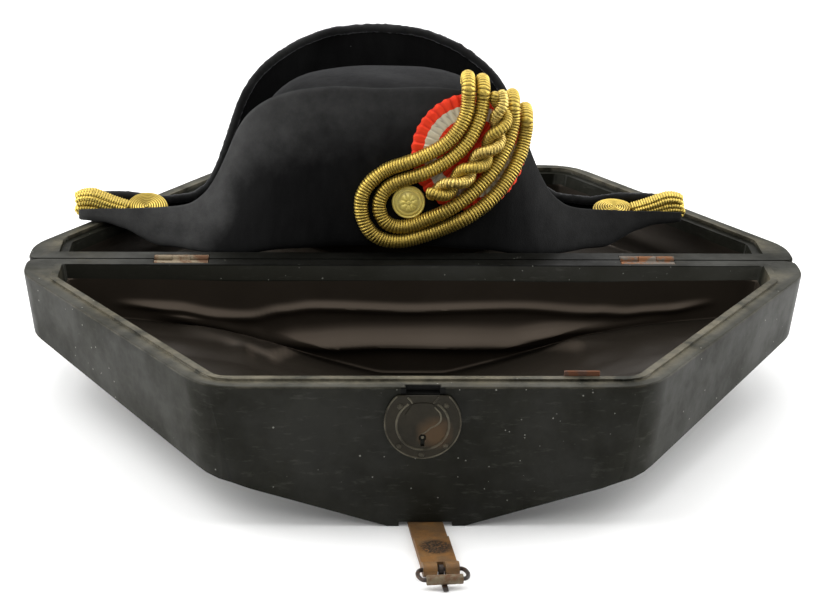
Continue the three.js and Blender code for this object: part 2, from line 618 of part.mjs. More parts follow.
// The crown's wall: outer rings from its base to its top, then inner rings back down.
function crown() {
  const face = (thick) => {
    const rings = [];
    for (let r = 0; r < CROWN_RINGS; r += 1) {
      const h = Math.sin((Math.PI / 2) * (r / CROWN_RINGS));
      const along = (CROWN_HALF_LONG - thick) * (1 - h ** CROWN_ROUND_LONG) ** (1 / CROWN_ROUND_LONG);
      const across = (CROWN_HALF_WIDE - thick) * (1 - h ** CROWN_ROUND_WIDE) ** (1 / CROWN_ROUND_WIDE);
      const ring = [];
      for (let k = 0; k < CROWN_AROUND; k += 1) {
        const a = (k / CROWN_AROUND) * Math.PI * 2;
        const base = brimAt('low', CROWN_HALF_LONG * Math.cos(a)) + FELT + CROWN_SEAT;
        const z = base + (CROWN_TOP - thick - base) * h;
        ring.push([along * Math.cos(a), across * Math.sin(a), z]);
      }
      rings.push(ring);
    }
    return rings;
  };
  const rings = [...face(FELT).reverse(), ...face(0)];
  const positions = rings.flat();
  const index = [];
  for (let r = 0; r + 1 < rings.length; r += 1) {
    for (let k = 0; k < CROWN_AROUND; k += 1) {
      const a = r * CROWN_AROUND + k;
      const b = r * CROWN_AROUND + ((k + 1) % CROWN_AROUND);
      index.push(a, b, a + CROWN_AROUND, b, b + CROWN_AROUND, a + CROWN_AROUND);
    }
  }
  const insideTop = positions.push([0, 0, CROWN_TOP - FELT]) - 1;
  const outsideTop = positions.push([0, 0, CROWN_TOP]) - 1;
  const lastRing = (rings.length - 1) * CROWN_AROUND;
  for (let k = 0; k < CROWN_AROUND; k += 1) {
    const next = (k + 1) % CROWN_AROUND;
    index.push(k, insideTop, next);
    index.push(lastRing + k, lastRing + next, outsideTop);
  }
  const geometry = new THREE.BufferGeometry();
  geometry.setAttribute('position', new THREE.Float32BufferAttribute(positions.flat(), 3));
  geometry.setIndex(index);
  return piece('crown', geometry, felt());
}

// The cockade: a disc of pleated ribbon that lies on the front flap and follows it.
function cockade() {
  const around = COCKADE.pleats * 2;
  const radii = COCKADE_RINGS.map((r) => r * COCKADE.radius);
  const ringAt = (radius, lift, pleat) => {
    const ring = [];
    for (let k = 0; k < around; k += 1) {
      const a = (k / around) * Math.PI * 2;
      const x = COCKADE.x + radius * Math.cos(a);
      const z = COCKADE.z + radius * Math.sin(a);
      const fold = k % 2 ? pleat * (radius / COCKADE.radius) : 0;
      ring.push([x, frontFace(x, z) - lift - fold, z]);
    }
    return ring;
  };
  const back = radii.map((radius) => ringAt(radius, TRIM_GAP, 0));
  const front = radii.map((radius) => ringAt(radius, TRIM_GAP + COCKADE.thick, COCKADE.pleat));
  const rings = [...back, ...front.reverse()];
  const cap = [];
  for (let k = 1; k + 1 < around; k += 1) cap.push([0, k, k + 1]);
  return piece('cockade', skin(rings, cap), silk());
}

// How far a piece of trim's back stands off the flap, higher where the cockade lies under it.
function standOff(x, z) {
  const reach = Math.hypot(x - COCKADE.x, z - COCKADE.z) - COCKADE.radius;
  const over = THREE.MathUtils.clamp(1 - (reach - CORD_RADIUS) / COCKADE_RAMP, 0, 1);
  return TRIM_GAP + over * (COCKADE.thick + COCKADE.pleat + TRIM_GAP + COCKADE_EASE);
}

// A point on the flap under a cord's middle, the cord's own radius off the face.
function onFlap([x, z], radius) {
  return new THREE.Vector3(x, frontFace(x, z) - standOff(x, z) - radius, z);
}

// The turn of a cord over the flap's edge and down behind it.
function overEdge([x], radius) {
  const top = brimAt('front', x - radius);
  const mouth = brimAt('mouth', x);
  const over = top + radius + EDGE_RISE;
  const behind = -mouth + FELT + radius + TRIM_GAP + COCKADE_EASE;
  return [
    new THREE.Vector3(x, -mouth - radius - standOff(x, top), top + EDGE_RISE),
    new THREE.Vector3(x, -mouth - radius / 2, over),
    new THREE.Vector3(x, -mouth + FELT + radius / 2, over),
    new THREE.Vector3(x, behind, top - EDGE_DROP),
  ];
}

function tube(points, radius, sides, step) {
  const path = new THREE.CatmullRomCurve3(points, false, 'centripetal');
  const steps = Math.round(path.getLength() / step);
  const section = new THREE.Shape();
  section.absarc(0, 0, radius, 0, Math.PI * 2, false);
  const options = { steps, extrudePath: path, bevelEnabled: false, curveSegments: sides / 2 };
  return new THREE.ExtrudeGeometry(section, options);
}

function loop(name, route) {
  const start = overEdge(route[0], CORD_RADIUS).reverse();
  const end = overEdge(route[route.length - 1], CORD_RADIUS);
  const run = route.map((spot) => onFlap(spot, CORD_RADIUS));
  return piece(name, tube([...start, ...run, ...end], CORD_RADIUS, CORD_SIDES, CORD_STEP), gold());
}

// One of the two strands that wind about each other between the loops.
function strand(name, phase) {
  const run = TWIST.map((spot) => onFlap(spot, TWIST_REACH + STRAND_RADIUS));
  const path = new THREE.CatmullRomCurve3(run, false, 'centripetal');
  const length = path.getLength();
  const count = Math.round(length / STRAND_STEP);
  const frames = path.computeFrenetFrames(count, false);
  const points = [];
  for (let i = 0; i <= count; i += 1) {
    const a = phase + ((i / count) * length * Math.PI * 2) / TWIST_PITCH;
    const point = path.getPointAt(i / count);
    point.addScaledVector(frames.normals[i], TWIST_REACH * Math.cos(a));
    point.addScaledVector(frames.binormals[i], TWIST_REACH * Math.sin(a));
    points.push(point);
  }
  return piece(name, tube(points, STRAND_RADIUS, CORD_SIDES, STRAND_STEP), gold());
}

function turned(profile) {
  return new THREE.LatheGeometry(profile.map(({ r, h }) => new THREE.Vector2(r, h)), TURNED_SIDES);
}

// The button: a shank on the felt and a domed face with a rim.
function button() {
  const mesh = piece('button', turned(BUTTON_PROFILE), gold());
  const lean = Math.atan(frontFace(BUTTON.x, BUTTON.z + 1) - frontFace(BUTTON.x, BUTTON.z));
  mesh.position.set(BUTTON.x, frontFace(BUTTON.x, BUTTON.z) - TRIM_GAP, BUTTON.z);
  mesh.rotation.x = Math.PI - lean;
  return mesh;
}

// A bundle of bullion rolls on a core, which lies in the gutter and ends at the tip, as one body.
function tasselFringe(name, side) {
  const rolls = BULLION_ROWS.flatMap(({ z, across }) => across.map((y, k) => {
    const sag = (k % 2) * BULLION_SAG;
    const points = [
      new THREE.Vector3(side * TASSEL_FROM, y, z - sag),
      new THREE.Vector3(side * (TASSEL_FROM + TASSEL_TO) / 2, y, z + BULLION_ARCH),
      new THREE.Vector3(side * (TASSEL_TO - sag), y * BULLION_GATHER, z + BULLION_SAG + sag),
    ];
    return tube(points, BULLION_RADIUS, BULLION_SIDES, BULLION_STEP);
  }));
  const ends = [side * (TASSEL_FROM + BULLION_SAG), side * (TASSEL_TO - BULLION_CORE)];
  const bottom = BULLION_ROWS[0].z;
  const top = BULLION_ROWS[BULLION_ROWS.length - 1].z;
  const core = box(Math.min(...ends), Math.max(...ends), -BULLION_CORE, BULLION_CORE, bottom, top);
  return piece(name, toGeometry(joined([core, ...rolls])), gold());
}

// The ribbed disc that heads each tassel, leaning back in the gutter.
function tasselDisc(name, side) {
  const mesh = piece(name, turned(DISC_PROFILE), gold());
  mesh.position.set(side * TASSEL_DISC.x, TASSEL_DISC.y, TASSEL_DISC.z);
  mesh.rotation.x = Math.PI / 2 + THREE.MathUtils.degToRad(TASSEL_DISC.lean);
  return mesh;
}

function hat() {
  const group = new THREE.Group();
  group.position.set(HAT_X, HINGE_Y + HAT_BEHIND_HINGE, CASE_RIM);
  group.add(brim(), crown(), cockade());
  group.add(loop('loop_outer', LOOP_OUTER), loop('loop_inner', LOOP_INNER));
  group.add(strand('twist_a', 0), strand('twist_b', Math.PI));
  group.add(button());
  for (const [label, side] of [['left', -1], ['right', 1]]) {
    group.add(tasselFringe(`tassel_fringe_${label}`, side), tasselDisc(`tassel_disc_${label}`, side));
  }
  return group;
}

const group = new THREE.Group();
group.add(hat());
group.add(trayShell(), lining('tray_lining', TRAY));
group.add(lidShell(), lining('lid_lining', LID));
for (const [label, x] of Object.entries(HINGE_CENTRES)) {
  group.add(hingeLeaf(`hinge_tray_${label}`, 1, x), hingeLeaf(`hinge_lid_${label}`, -1, x));
}
group.add(lockPlate(), catchPlate(), strapAndBuckle());

export default group;
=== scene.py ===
# %% [markdown]
# # A bicorne in its open case
# The object is a naval officer's cocked hat in black felt. It stands across the back half of its own
# lacquered case, and the lid lies open in front of it. The solids in the frame already have every size
# and place. This lesson dresses them in felt, gold wire, silk, lacquer, cloth, iron and leather.

# %% Load the frame
import json
import math
import random
from collections import namedtuple

import bmesh
import bpy
from mathutils import Matrix, Vector, noise


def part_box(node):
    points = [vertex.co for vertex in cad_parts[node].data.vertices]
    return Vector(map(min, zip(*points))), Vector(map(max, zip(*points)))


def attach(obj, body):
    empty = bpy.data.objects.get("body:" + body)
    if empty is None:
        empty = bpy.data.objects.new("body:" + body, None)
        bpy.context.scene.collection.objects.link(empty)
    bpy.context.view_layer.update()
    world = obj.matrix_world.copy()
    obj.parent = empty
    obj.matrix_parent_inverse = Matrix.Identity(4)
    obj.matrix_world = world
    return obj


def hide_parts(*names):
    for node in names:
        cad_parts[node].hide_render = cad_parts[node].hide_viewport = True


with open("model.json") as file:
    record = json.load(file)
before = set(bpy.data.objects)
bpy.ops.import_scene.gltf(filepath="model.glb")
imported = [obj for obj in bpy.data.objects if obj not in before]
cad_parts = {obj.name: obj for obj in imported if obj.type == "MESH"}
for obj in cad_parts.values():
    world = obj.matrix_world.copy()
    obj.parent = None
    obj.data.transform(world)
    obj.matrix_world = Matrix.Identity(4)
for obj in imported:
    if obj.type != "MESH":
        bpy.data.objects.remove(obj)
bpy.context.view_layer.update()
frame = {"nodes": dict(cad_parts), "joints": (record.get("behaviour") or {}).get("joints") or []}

MM = 0.001
scene = bpy.context.scene
hinge_line = Vector(frame["joints"][0]["pos_m"])
print(f"{len(frame['nodes'])} solids, hinge line at y {hinge_line.y:.4f} and z {hinge_line.z:.4f}")

# %% [markdown]
# ## Camera
# The picture is taken from the front, a little above the rims, with a long lens. The place and the
# angles come from a perspective fit of the rims, so the camera is typed in and not aimed by eye.
# A matrix sets all three turns in a clear order: roll in the picture, then tilt, then swing.

# %% Camera
CAMERA_PLACE = Vector((-0.0618, -1.6728, 0.5956))
SWING = math.radians(2.22)
TILT = math.radians(19.03)
ROLL = 0.015
LENS = 100.8

camera_data = bpy.data.cameras.new("camera")
camera_data.lens = LENS
camera = bpy.data.objects.new("camera", camera_data)
camera.matrix_world = (
    Matrix.Translation(CAMERA_PLACE)
    @ Matrix.Rotation(-SWING, 4, "Z")
    @ Matrix.Rotation(math.pi / 2 - TILT, 4, "X")
    @ Matrix.Rotation(ROLL, 4, "Z")
)
scene.collection.objects.link(camera)
scene.camera = camera
print("camera at", tuple(round(v, 3) for v in CAMERA_PLACE))

# %% [markdown]
# ## Tools for finishes
# A finish is a small tree of nodes. These helpers add one node at a time, so that each finish below
# reads as a recipe. Effects that several finishes share, such as mottling and specks of dust, are node
# groups: they are built once, and every finish sets its own scale and colours on them.

# %% Tools for finishes
def add(tree, kind, sockets=None, **settings):
    made = tree.nodes.new("ShaderNode" + kind)
    for name, value in settings.items():
        setattr(made, name, value)
    for key, value in (sockets or {}).items():
        if isinstance(value, bpy.types.NodeSocket):
            tree.links.new(value, made.inputs[key])
        else:
            made.inputs[key].default_value = value
    return made


def paint(colour):
    """A typed colour gets its alpha, and one that comes from another node is left alone."""
    return colour if isinstance(colour, bpy.types.NodeSocket) else (*colour, 1)


def blend_colours(tree, mask, first, second):
    return add(tree, "Mix", {0: mask, 6: paint(first), 7: paint(second)}, data_type="RGBA").outputs[2]


def blend_values(tree, mask, first, second):
    return add(tree, "Mix", {0: mask, 2: first, 3: second}).outputs[0]


def calc(tree, operation, first, second=0.0):
    return add(tree, "Math", {0: first, 1: second}, operation=operation).outputs[0]


def times(tree, first, second):
    return calc(tree, "MULTIPLY", first, second)


def largest(tree, first, *others):
    for other in others:
        first = calc(tree, "MAXIMUM", first, other)
    return first


def spread(tree, value, low, high, to_low=0.0, to_high=1.0):
    sockets = {"Value": value, "From Min": low, "From Max": high, "To Min": to_low, "To Max": to_high}
    return add(tree, "MapRange", sockets).outputs["Result"]


print("mixing tools ready")

# %% Places, patterns and shaders
def place_on(tree, scale=(1, 1, 1), turn=(0, 0, 0)):
    where = add(tree, "TexCoord").outputs["Object"]
    return add(tree, "Mapping", {"Vector": where, "Scale": scale, "Rotation": turn}).outputs["Vector"]


def split(tree, vector):
    return add(tree, "SeparateXYZ", {"Vector": vector}).outputs


def facing(tree):
    """Which way a face looks in the piece's own frame, as X, Y and Z."""
    return split(tree, add(tree, "TexCoord").outputs["Normal"])


def vector_calc(tree, operation, first, second=(0, 0, 0), gives="Vector"):
    return add(tree, "VectorMath", {0: first, 1: second}, operation=operation).outputs[gives]


def grain(tree, where, scale, detail=4.0, rough=0.55):
    sockets = {"Vector": where, "Scale": scale, "Detail": detail, "Roughness": rough}
    return add(tree, "TexNoise", sockets).outputs["Fac"]


def stored(tree, name):
    return add(tree, "Attribute", attribute_name=name).outputs["Fac"]


def socket_name(label):
    return label.replace("_", " ").title().replace("Ior", "IOR")


def new_finish(name, **constants):
    material = bpy.data.materials.new(name)
    material.use_nodes = True
    shader = material.node_tree.nodes["Principled BSDF"]
    for label, value in constants.items():
        shader.inputs[socket_name(label)].default_value = value
    return material, material.node_tree, shader


def feed(tree, shader, **values):
    for label, value in values.items():
        tree.links.new(value, shader.inputs[socket_name(label)])


def relief(tree, shader, height, depth, strength=1.0):
    bump = add(tree, "Bump", {"Height": height, "Distance": depth, "Strength": strength})
    feed(tree, shader, normal=bump.outputs["Normal"])


print("pattern and shader tools ready")

# %% Shared effects
FINER = 5.3
FINE_SHARE = 0.35


def new_group(name, inputs, outputs):
    group = bpy.data.node_groups.new(name, "ShaderNodeTree")
    for label, kind, value in inputs:
        socket = group.interface.new_socket(label, in_out="INPUT", socket_type="NodeSocket" + kind)
        if value is not None:
            socket.default_value = value
    for label, kind in outputs:
        group.interface.new_socket(label, in_out="OUTPUT", socket_type="NodeSocket" + kind)
    return group, group.nodes.new("NodeGroupInput").outputs, group.nodes.new("NodeGroupOutput").inputs


def make_mottle():
    """Two sizes of cloudy noise as a mask, and two colours mixed by it."""
    group, given, gives = new_group(
        "mottle",
        [("Vector", "Vector", None), ("Scale", "Float", 20.0), ("Contrast", "Float", 0.25),
         ("Low Colour", "Color", (0, 0, 0, 1)), ("High Colour", "Color", (1, 1, 1, 1))],
        [("Colour", "Color"), ("Value", "Float")],
    )
    coarse = grain(group, given["Vector"], given["Scale"], 3.0)
    fine = grain(group, given["Vector"], times(group, given["Scale"], FINER), 5.0)
    low = calc(group, "SUBTRACT", 0.5, given["Contrast"])
    high = calc(group, "ADD", 0.5, given["Contrast"])
    mask = spread(group, blend_values(group, FINE_SHARE, coarse, fine), low, high)
    group.links.new(mask, gives["Value"])
    group.links.new(blend_colours(group, mask, given["Low Colour"], given["High Colour"]), gives["Colour"])
    return group


def make_specks():
    """Small round specks, a few of the cells of a cell pattern, as a mask."""
    group, given, gives = new_group(
        "specks",
        [("Vector", "Vector", None), ("Scale", "Float", 80.0), ("Size", "Float", 0.12),
         ("Share", "Float", 0.15)],
        [("Mask", "Float")],
    )
    cells = add(group, "TexVoronoi", {"Vector": given["Vector"], "Scale": given["Scale"]})
    near = calc(group, "LESS_THAN", cells.outputs["Distance"], given["Size"])
    chance = add(group, "SeparateColor", {"Color": cells.outputs["Color"]}).outputs["Red"]
    chosen = calc(group, "LESS_THAN", chance, given["Share"])
    group.links.new(times(group, near, chosen), gives["Mask"])
    return group


MOTTLE = make_mottle()
SPECKS = make_specks()


def mottle(tree, where, scale, contrast, low, high):
    sockets = {"Vector": where, "Scale": scale, "Contrast": contrast}
    sockets.update({"Low Colour": paint(low), "High Colour": paint(high)})
    return add(tree, "Group", sockets, node_tree=MOTTLE).outputs


def specks(tree, where, scale, size, share):
    sockets = {"Vector": where, "Scale": scale, "Size": size, "Share": share}
    return add(tree, "Group", sockets, node_tree=SPECKS).outputs["Mask"]


print("shared groups:", MOTTLE.name, SPECKS.name)

# %% [markdown]
# ## Floor and light
# A pale floor and white boxes give the bright, even light of a catalogue picture. Black things show
# their form by what they reflect. The room is dim, so faces turned to the camera stay black. Two broad
# boxes at the sides turn the slanted sides grey and light the floor under them, one above lights the
# rims, one behind whitens the far floor, and a weak one in front finds the gold and the silk.

# %% Floor and light
FLOOR_HALF = 9.0
FLOOR_DROP = 0.3 * MM
FLOOR_GLOW = 0.05
FLOOR_WHITE = (0.9, 0.9, 0.893, 1)
WHITE = (1, 1, 1, 1)
ROOM_FRONT, ROOM_BACK = 0.2, 0.4
ROOM_TURN = (-0.8, 0.5)
scene.view_settings.view_transform = "Standard"

floor_mesh = bmesh.new()
bmesh.ops.create_grid(floor_mesh, x_segments=1, y_segments=1, size=FLOOR_HALF)
bmesh.ops.translate(floor_mesh, verts=floor_mesh.verts, vec=(0, 0, -FLOOR_DROP))
floor_data = bpy.data.meshes.new("floor")
floor_mesh.to_mesh(floor_data)
floor_mesh.free()
floor = bpy.data.objects.new("floor", floor_data)
scene.collection.objects.link(floor)
floor_paint = new_finish(
    "floor_paint", roughness=0.9, specular_ior_level=0.2, base_color=FLOOR_WHITE, emission_color=WHITE,
    emission_strength=FLOOR_GLOW,
)[0]
floor_data.materials.append(floor_paint)

room = bpy.data.worlds.new("room")
room.use_nodes = True
room_tree = room.node_tree
away = split(room_tree, add(room_tree, "TexCoord").outputs["Generated"])["Y"]
room_tree.nodes["Background"].inputs["Color"].default_value = WHITE
glow = spread(room_tree, away, *ROOM_TURN, ROOM_FRONT, ROOM_BACK)
feed(room_tree, room_tree.nodes["Background"], strength=glow)
scene.world = room


def softbox(name, place, aim, wide, watts):
    data = bpy.data.lights.new(name, "AREA")
    data.size = wide
    data.energy = watts
    lamp = bpy.data.objects.new(name, data)
    lamp.location = place
    lamp.rotation_euler = (Vector(aim) - Vector(place)).to_track_quat("-Z", "Y").to_euler()
    scene.collection.objects.link(lamp)


HAT_LEVEL = (0, -0.1, 0.12)
softbox("box_above", (0, 0.1, 2.2), HAT_LEVEL, wide=2.0, watts=24)
softbox("box_left", (-1.5, 0.15, 0.92), HAT_LEVEL, wide=1.8, watts=44)
softbox("box_right", (1.5, 0.15, 0.92), HAT_LEVEL, wide=1.8, watts=37)
softbox("box_front", (-0.35, -1.7, 1.5), HAT_LEVEL, wide=0.9, watts=8)
softbox("box_behind", (0, 2.6, 2.0), (0, 2.2, 0), wide=2.4, watts=36)
print("floor, room light and softboxes are up")

# %% [markdown]
# ## A finished piece
# Every piece ends the same way: its mesh becomes an object at the origin, it takes a finish, it is
# parented to the empty of the body it rides on, and the solids it stands for are hidden.

# %% A finished piece
SMOOTH_BELOW = math.radians(38)


def finish_piece(name, mesh, finish, body, nodes=()):
    data = bpy.data.meshes.new(name)
    mesh.to_mesh(data)
    mesh.free()
    data.polygons.foreach_set("use_smooth", [True] * len(data.polygons))
    data.set_sharp_from_angle(angle=SMOOTH_BELOW)
    data.materials.append(finish)
    piece = bpy.data.objects.new(name, data)
    scene.collection.objects.link(piece)
    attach(piece, body)
    if nodes:
        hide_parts(*nodes)
    print(f"{name}: {len(data.polygons)} faces")
    return piece


def thicken(piece, thick):
    wall = piece.modifiers.new("wall", "SOLIDIFY")
    wall.thickness = thick
    wall.offset = -1.0
    wall.use_even_offset = True


def look_towards(mesh, direction, faces):
    """Turn a whole sheet over if these faces of it look away from a direction."""
    mesh.normal_update()
    if sum(face.normal.dot(Vector(direction)) for face in faces) < 0:
        bmesh.ops.reverse_faces(mesh, faces=mesh.faces)


TO_FRONT, UPWARDS = (0, -1, 0), (0, 0, 1)
print("pieces are smooth where faces meet at less than", round(math.degrees(SMOOTH_BELOW)), "degrees")

# %% [markdown]
# ## Felt
# Hatter's felt is matted fur: almost black, with a short brushed nap that turns grey where it catches
# the light. A dark base with a broad mottle gives the brushing, fine noise as bump gives the nap, and a
# little sheen gives the pale bloom at glancing angles. On the outsides of the flaps, a broad band below
# their edges is painted paler as light catching the felt. It is patchy and strongest on the left, where
# the light falls. The brim keeps two numbers on its points for that: how far each lies below its edge,
# and which flap it is on.

# %% Felt
PALE_BAND = (16.0, 60.0)
BAND_RAGGED = 16.0
LEFT_TO_RIGHT = (-0.16, 0.08)
PALE_LEFT, PALE_RIGHT = 1.0, 0.32
PAINTED_LIT_FELT = (0.055, 0.055, 0.0542)
LINT = (0.09, 0.09, 0.087)
SHEEN_TINT = (0.75, 0.76, 0.8, 1)
BRUSHED_DOWN = (1.0, 1.0, 0.35)
MIDDLING = (0.3, 0.7)


def painted_light_band(tree, where):
    """Mask of the painted light: a pale band on the flaps' outsides, stronger on the left."""
    outside = spread(tree, times(tree, facing(tree)["Y"], stored(tree, "flap")), 0.1, 0.5)
    ragged = spread(tree, grain(tree, where, 24.0, 5.0, 0.6), *MIDDLING, -BAND_RAGGED, BAND_RAGGED)
    band = spread(tree, calc(tree, "ADD", stored(tree, "below"), ragged), *PALE_BAND, 1.0, 0.0)
    by_side = spread(tree, split(tree, where)["X"], *LEFT_TO_RIGHT, PALE_LEFT, PALE_RIGHT)
    patches = spread(tree, grain(tree, where, 70.0, 5.0, 0.65), *MIDDLING, 0.6, 1.1)
    return times(tree, times(tree, outside, band), times(tree, by_side, patches))


def felt_finish(name, dark, light, bloom):
    material, tree, shader = new_finish(
        name, specular_ior_level=0.07, sheen_weight=bloom, sheen_roughness=0.42, sheen_tint=SHEEN_TINT
    )
    where = place_on(tree)
    brushed = place_on(tree, BRUSHED_DOWN)
    cloud = mottle(tree, brushed, 26.0, 0.2, dark, light)
    # Painted light: a paler colour in the band below the flaps' edges, where light catches the felt.
    colour = blend_colours(tree, painted_light_band(tree, where), cloud["Colour"], PAINTED_LIT_FELT)
    colour = blend_colours(tree, specks(tree, where, 160.0, 0.06, 0.035), colour, LINT)
    feed(tree, shader, base_color=colour, roughness=spread(tree, cloud["Value"], 0.0, 1.0, 0.95, 0.68))
    hairs = grain(tree, brushed, 1500.0, 3.0, 0.7)
    tufts = grain(tree, where, 330.0)
    relief(tree, shader, blend_values(tree, 0.4, hairs, tufts), 0.7 * MM, 0.55)
    return material


felt = felt_finish("felt", (0.003, 0.003, 0.0031), (0.009, 0.0092, 0.0092), 0.05)
plush = felt_finish("plush", (0.006, 0.006, 0.006), (0.02, 0.02, 0.0195), 0.3)
print("felt finishes:", felt.name, plush.name)

# %% [markdown]
# ## The brim
# The real brim is one oval of felt, steamed and folded up into two flaps, with a horn at each end.
# It could be sculpted, but a table of sections is easier to check against the picture: each row gives
# the half-width at the fold, the fold's height, the half-width at the edges and the two edges' heights.
# The mesh starts as a flat grid, as the felt does, and each of its points is folded to its section. Near
# the horns the front fold sags a little lower than the back one, which lies on the case's rim.

# %% Sections of the brim
Section = namedtuple("Section", "x foot low mouth front back")
SECTIONS = [
    Section(0, 80.5, 4.6, 67, 118, 134),
    Section(30, 81, 4.3, 66.5, 119, 131.5),
    Section(55, 81.5, 2.4, 64.5, 116.5, 123.5),
    Section(75, 79, 0.5, 60, 110, 112),
    Section(90, 73.5, -3.6, 55, 100, 98.5),
    Section(101, 68, -6.8, 50, 86.5, 80),
    Section(108, 64, -8.4, 46.5, 70, 60),
    Section(116, 59.5, -9.5, 42, 50.5, 37),
    Section(126, 54, -10.5, 37.5, 33, 18.5),
    Section(140, 46, -10.8, 31, 21.5, 11.5),
    Section(160, 35, -9.2, 22.5, 16.5, 11.5),
    Section(176, 26.5, -3.8, 18.5, 14.5, 15),
    Section(190, 20, 0.5, 15.5, 13, 17),
    Section(204, 15, 1, 13, 12, 17.5),
    Section(224, 10.5, 1.8, 10, 10, 16),
]
TIP = SECTIONS[-1].x
EDGE_SHIFT = {"front": -2.5, "back": -4.0}
FRONT_DIP = [(146, 0.0), (172, 4.4), (190, 3.2), (204, 0.4), (224, 0.0)]
FELT_THICK = 2.6
FOLD_ROUND = 7.0
brim_low, brim_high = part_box("brim")
HAT = Vector(((brim_low.x + brim_high.x) / 2, (brim_low.y + brim_high.y) / 2, hinge_line.z))


def hat_spot(x, y, z):
    return HAT + Vector((x, y, z)) * MM


print(len(SECTIONS), "sections, hat's middle at", tuple(round(v, 4) for v in HAT))

# %% Read the sections
def brim_at(column, x):
    """A smooth reading of one column that never swings past its rows."""
    far = min(abs(x - EDGE_SHIFT.get(column, 0.0)), TIP)
    last = len(SECTIONS) - 2
    i = min(max(k for k, row in enumerate(SECTIONS) if row.x <= far), last)
    value = [getattr(row, column) for row in SECTIONS]

    def rise(j):
        return (value[j + 1] - value[j]) / (SECTIONS[j + 1].x - SECTIONS[j].x)

    def slope(j):
        if j == 0:
            return 0.0
        if j > last:
            return rise(last)
        a, b = rise(j - 1), rise(j)
        return 0.0 if a * b <= 0 else 2 * a * b / (a + b)

    span = SECTIONS[i + 1].x - SECTIONS[i].x
    t = (far - SECTIONS[i].x) / span
    start = (1 + 2 * t) * (1 - t) ** 2 * value[i] + t * (1 - t) ** 2 * span * slope(i)
    end = t * t * (3 - 2 * t) * value[i + 1] + t * t * (t - 1) * span * slope(i + 1)
    return start + end


def along_line(line, x, smooth=True):
    """A reading of a short list of places, level before its first one and after its last."""
    for (x0, z0), (x1, z1) in zip(line, line[1:]):
        if x <= x1:
            t = min(max((x - x0) / (x1 - x0), 0), 1)
            return z0 + (z1 - z0) * (t * t * (3 - 2 * t) if smooth else t)
    return line[-1][1]


def front_face(x, z):
    foot, low, mouth, front = (brim_at(c, x) for c in ("foot", "low", "mouth", "front"))
    return -(foot + (mouth - foot) * min((z - low) / (front - low), 1))


print(f"front flap stands {brim_at('front', 0):.0f} mm high in the middle")

# %% Points of the folded brim
WALL_ROWS, FOLD_ROWS, BOTTOM_ROWS = 16, 4, 26
BRIM_COLUMNS = 110
BRIM_ROWS = 2 * (WALL_ROWS + FOLD_ROWS) + BOTTOM_ROWS
OPENING = (94.9, 69.9)
OPENING_BELOW = 20.0
OPENING_NEAR = 1.4
WAVE, WAVE_SCALE = 0.7, 0.022


def flap_point(x, edge, row):
    """y outwards and z of a point on one flap, counted in rows from its edge through the fold."""
    foot, low, mouth, top = (brim_at(c, x) for c in ("foot", "low", "mouth", edge))
    if edge == "front":
        low -= along_line(FRONT_DIP, abs(x))
    bend_round = min(FOLD_ROUND, foot / 2, (top - low) / 2)

    def wall(z):
        return foot + (mouth - foot) * (z - low) / (top - low)

    bend = low + bend_round
    if row <= WALL_ROWS:
        z = top + (bend - top) * row / WALL_ROWS
        return wall(z), z
    t = (row - WALL_ROWS) / FOLD_ROWS
    first, middle, last = (wall(bend), bend), (foot, low), (foot - bend_round, low)
    return tuple((1 - t) ** 2 * a + 2 * t * (1 - t) * b + t * t * c for a, b, c in zip(first, middle, last))


def brim_point(x, row):
    turn = WALL_ROWS + FOLD_ROWS
    if row <= turn:
        y, z = flap_point(x, "front", row)
        return -y, z
    if row >= turn + BOTTOM_ROWS:
        return flap_point(x, "back", BRIM_ROWS - row)
    t = (row - turn) / BOTTOM_ROWS
    near, far = flap_point(x, "front", turn), flap_point(x, "back", turn)
    return -near[0] + (far[0] + near[0]) * t, near[1] + (far[1] - near[1]) * t


def opening_reach(co):
    """How far out a low point lies, where 1 is the edge of the opening for the head."""
    x, y, z = (co - HAT) / MM
    return math.hypot(x / OPENING[0], y / OPENING[1]) if z < OPENING_BELOW else math.inf


print(BRIM_COLUMNS, "by", BRIM_ROWS, "cells of felt")

# %% Fold the brim
brim_mesh = bmesh.new()
below_layer = brim_mesh.verts.layers.float.new("below")
flap_layer = brim_mesh.verts.layers.float.new("flap")
bmesh.ops.create_grid(brim_mesh, x_segments=BRIM_COLUMNS, y_segments=BRIM_ROWS, size=1.0)
for vert in brim_mesh.verts:
    x = vert.co.x * TIP
    row = round((vert.co.y + 1) / 2 * BRIM_ROWS)
    y, z = brim_point(x, row)
    vert[flap_layer] = -1 if row < BRIM_ROWS / 2 else 1
    vert[below_layer] = brim_at("front" if row < BRIM_ROWS / 2 else "back", x) - z
    wave = WAVE * noise.noise(Vector((x, y, z)) * WAVE_SCALE)
    vert.co = hat_spot(x, y + math.copysign(wave, y), z)
head_hole = [f for f in brim_mesh.faces if opening_reach(f.calc_center_median()) < 1]
bmesh.ops.delete(brim_mesh, geom=head_hole, context="FACES")
for vert in brim_mesh.verts:
    reach = opening_reach(vert.co)
    if vert.is_boundary and reach < OPENING_NEAR:
        vert.co.x = HAT.x + (vert.co.x - HAT.x) / reach
        vert.co.y = HAT.y + (vert.co.y - HAT.y) / reach
front_wall = min(brim_mesh.faces, key=lambda f: f.calc_center_median().y)
look_towards(brim_mesh, TO_FRONT, [front_wall])
felt_brim = finish_piece("felt_brim", brim_mesh, felt, "tray", ["brim"])
thicken(felt_brim, FELT_THICK * MM)
soft_felt = felt_brim.modifiers.new("surface", "SUBSURF")
soft_felt.levels = 1
soft_felt.render_levels = 1

# %% [markdown]
# ## The crown
# The crown is blocked over a wooden form: a dome that is flatter on top than a ball. Half a sphere has
# the right rings and meridians, so the upper half is kept and each ring is drawn out to a squarer
# curve, a superellipse. Its base follows the brim's fold, which is lower towards the horns.

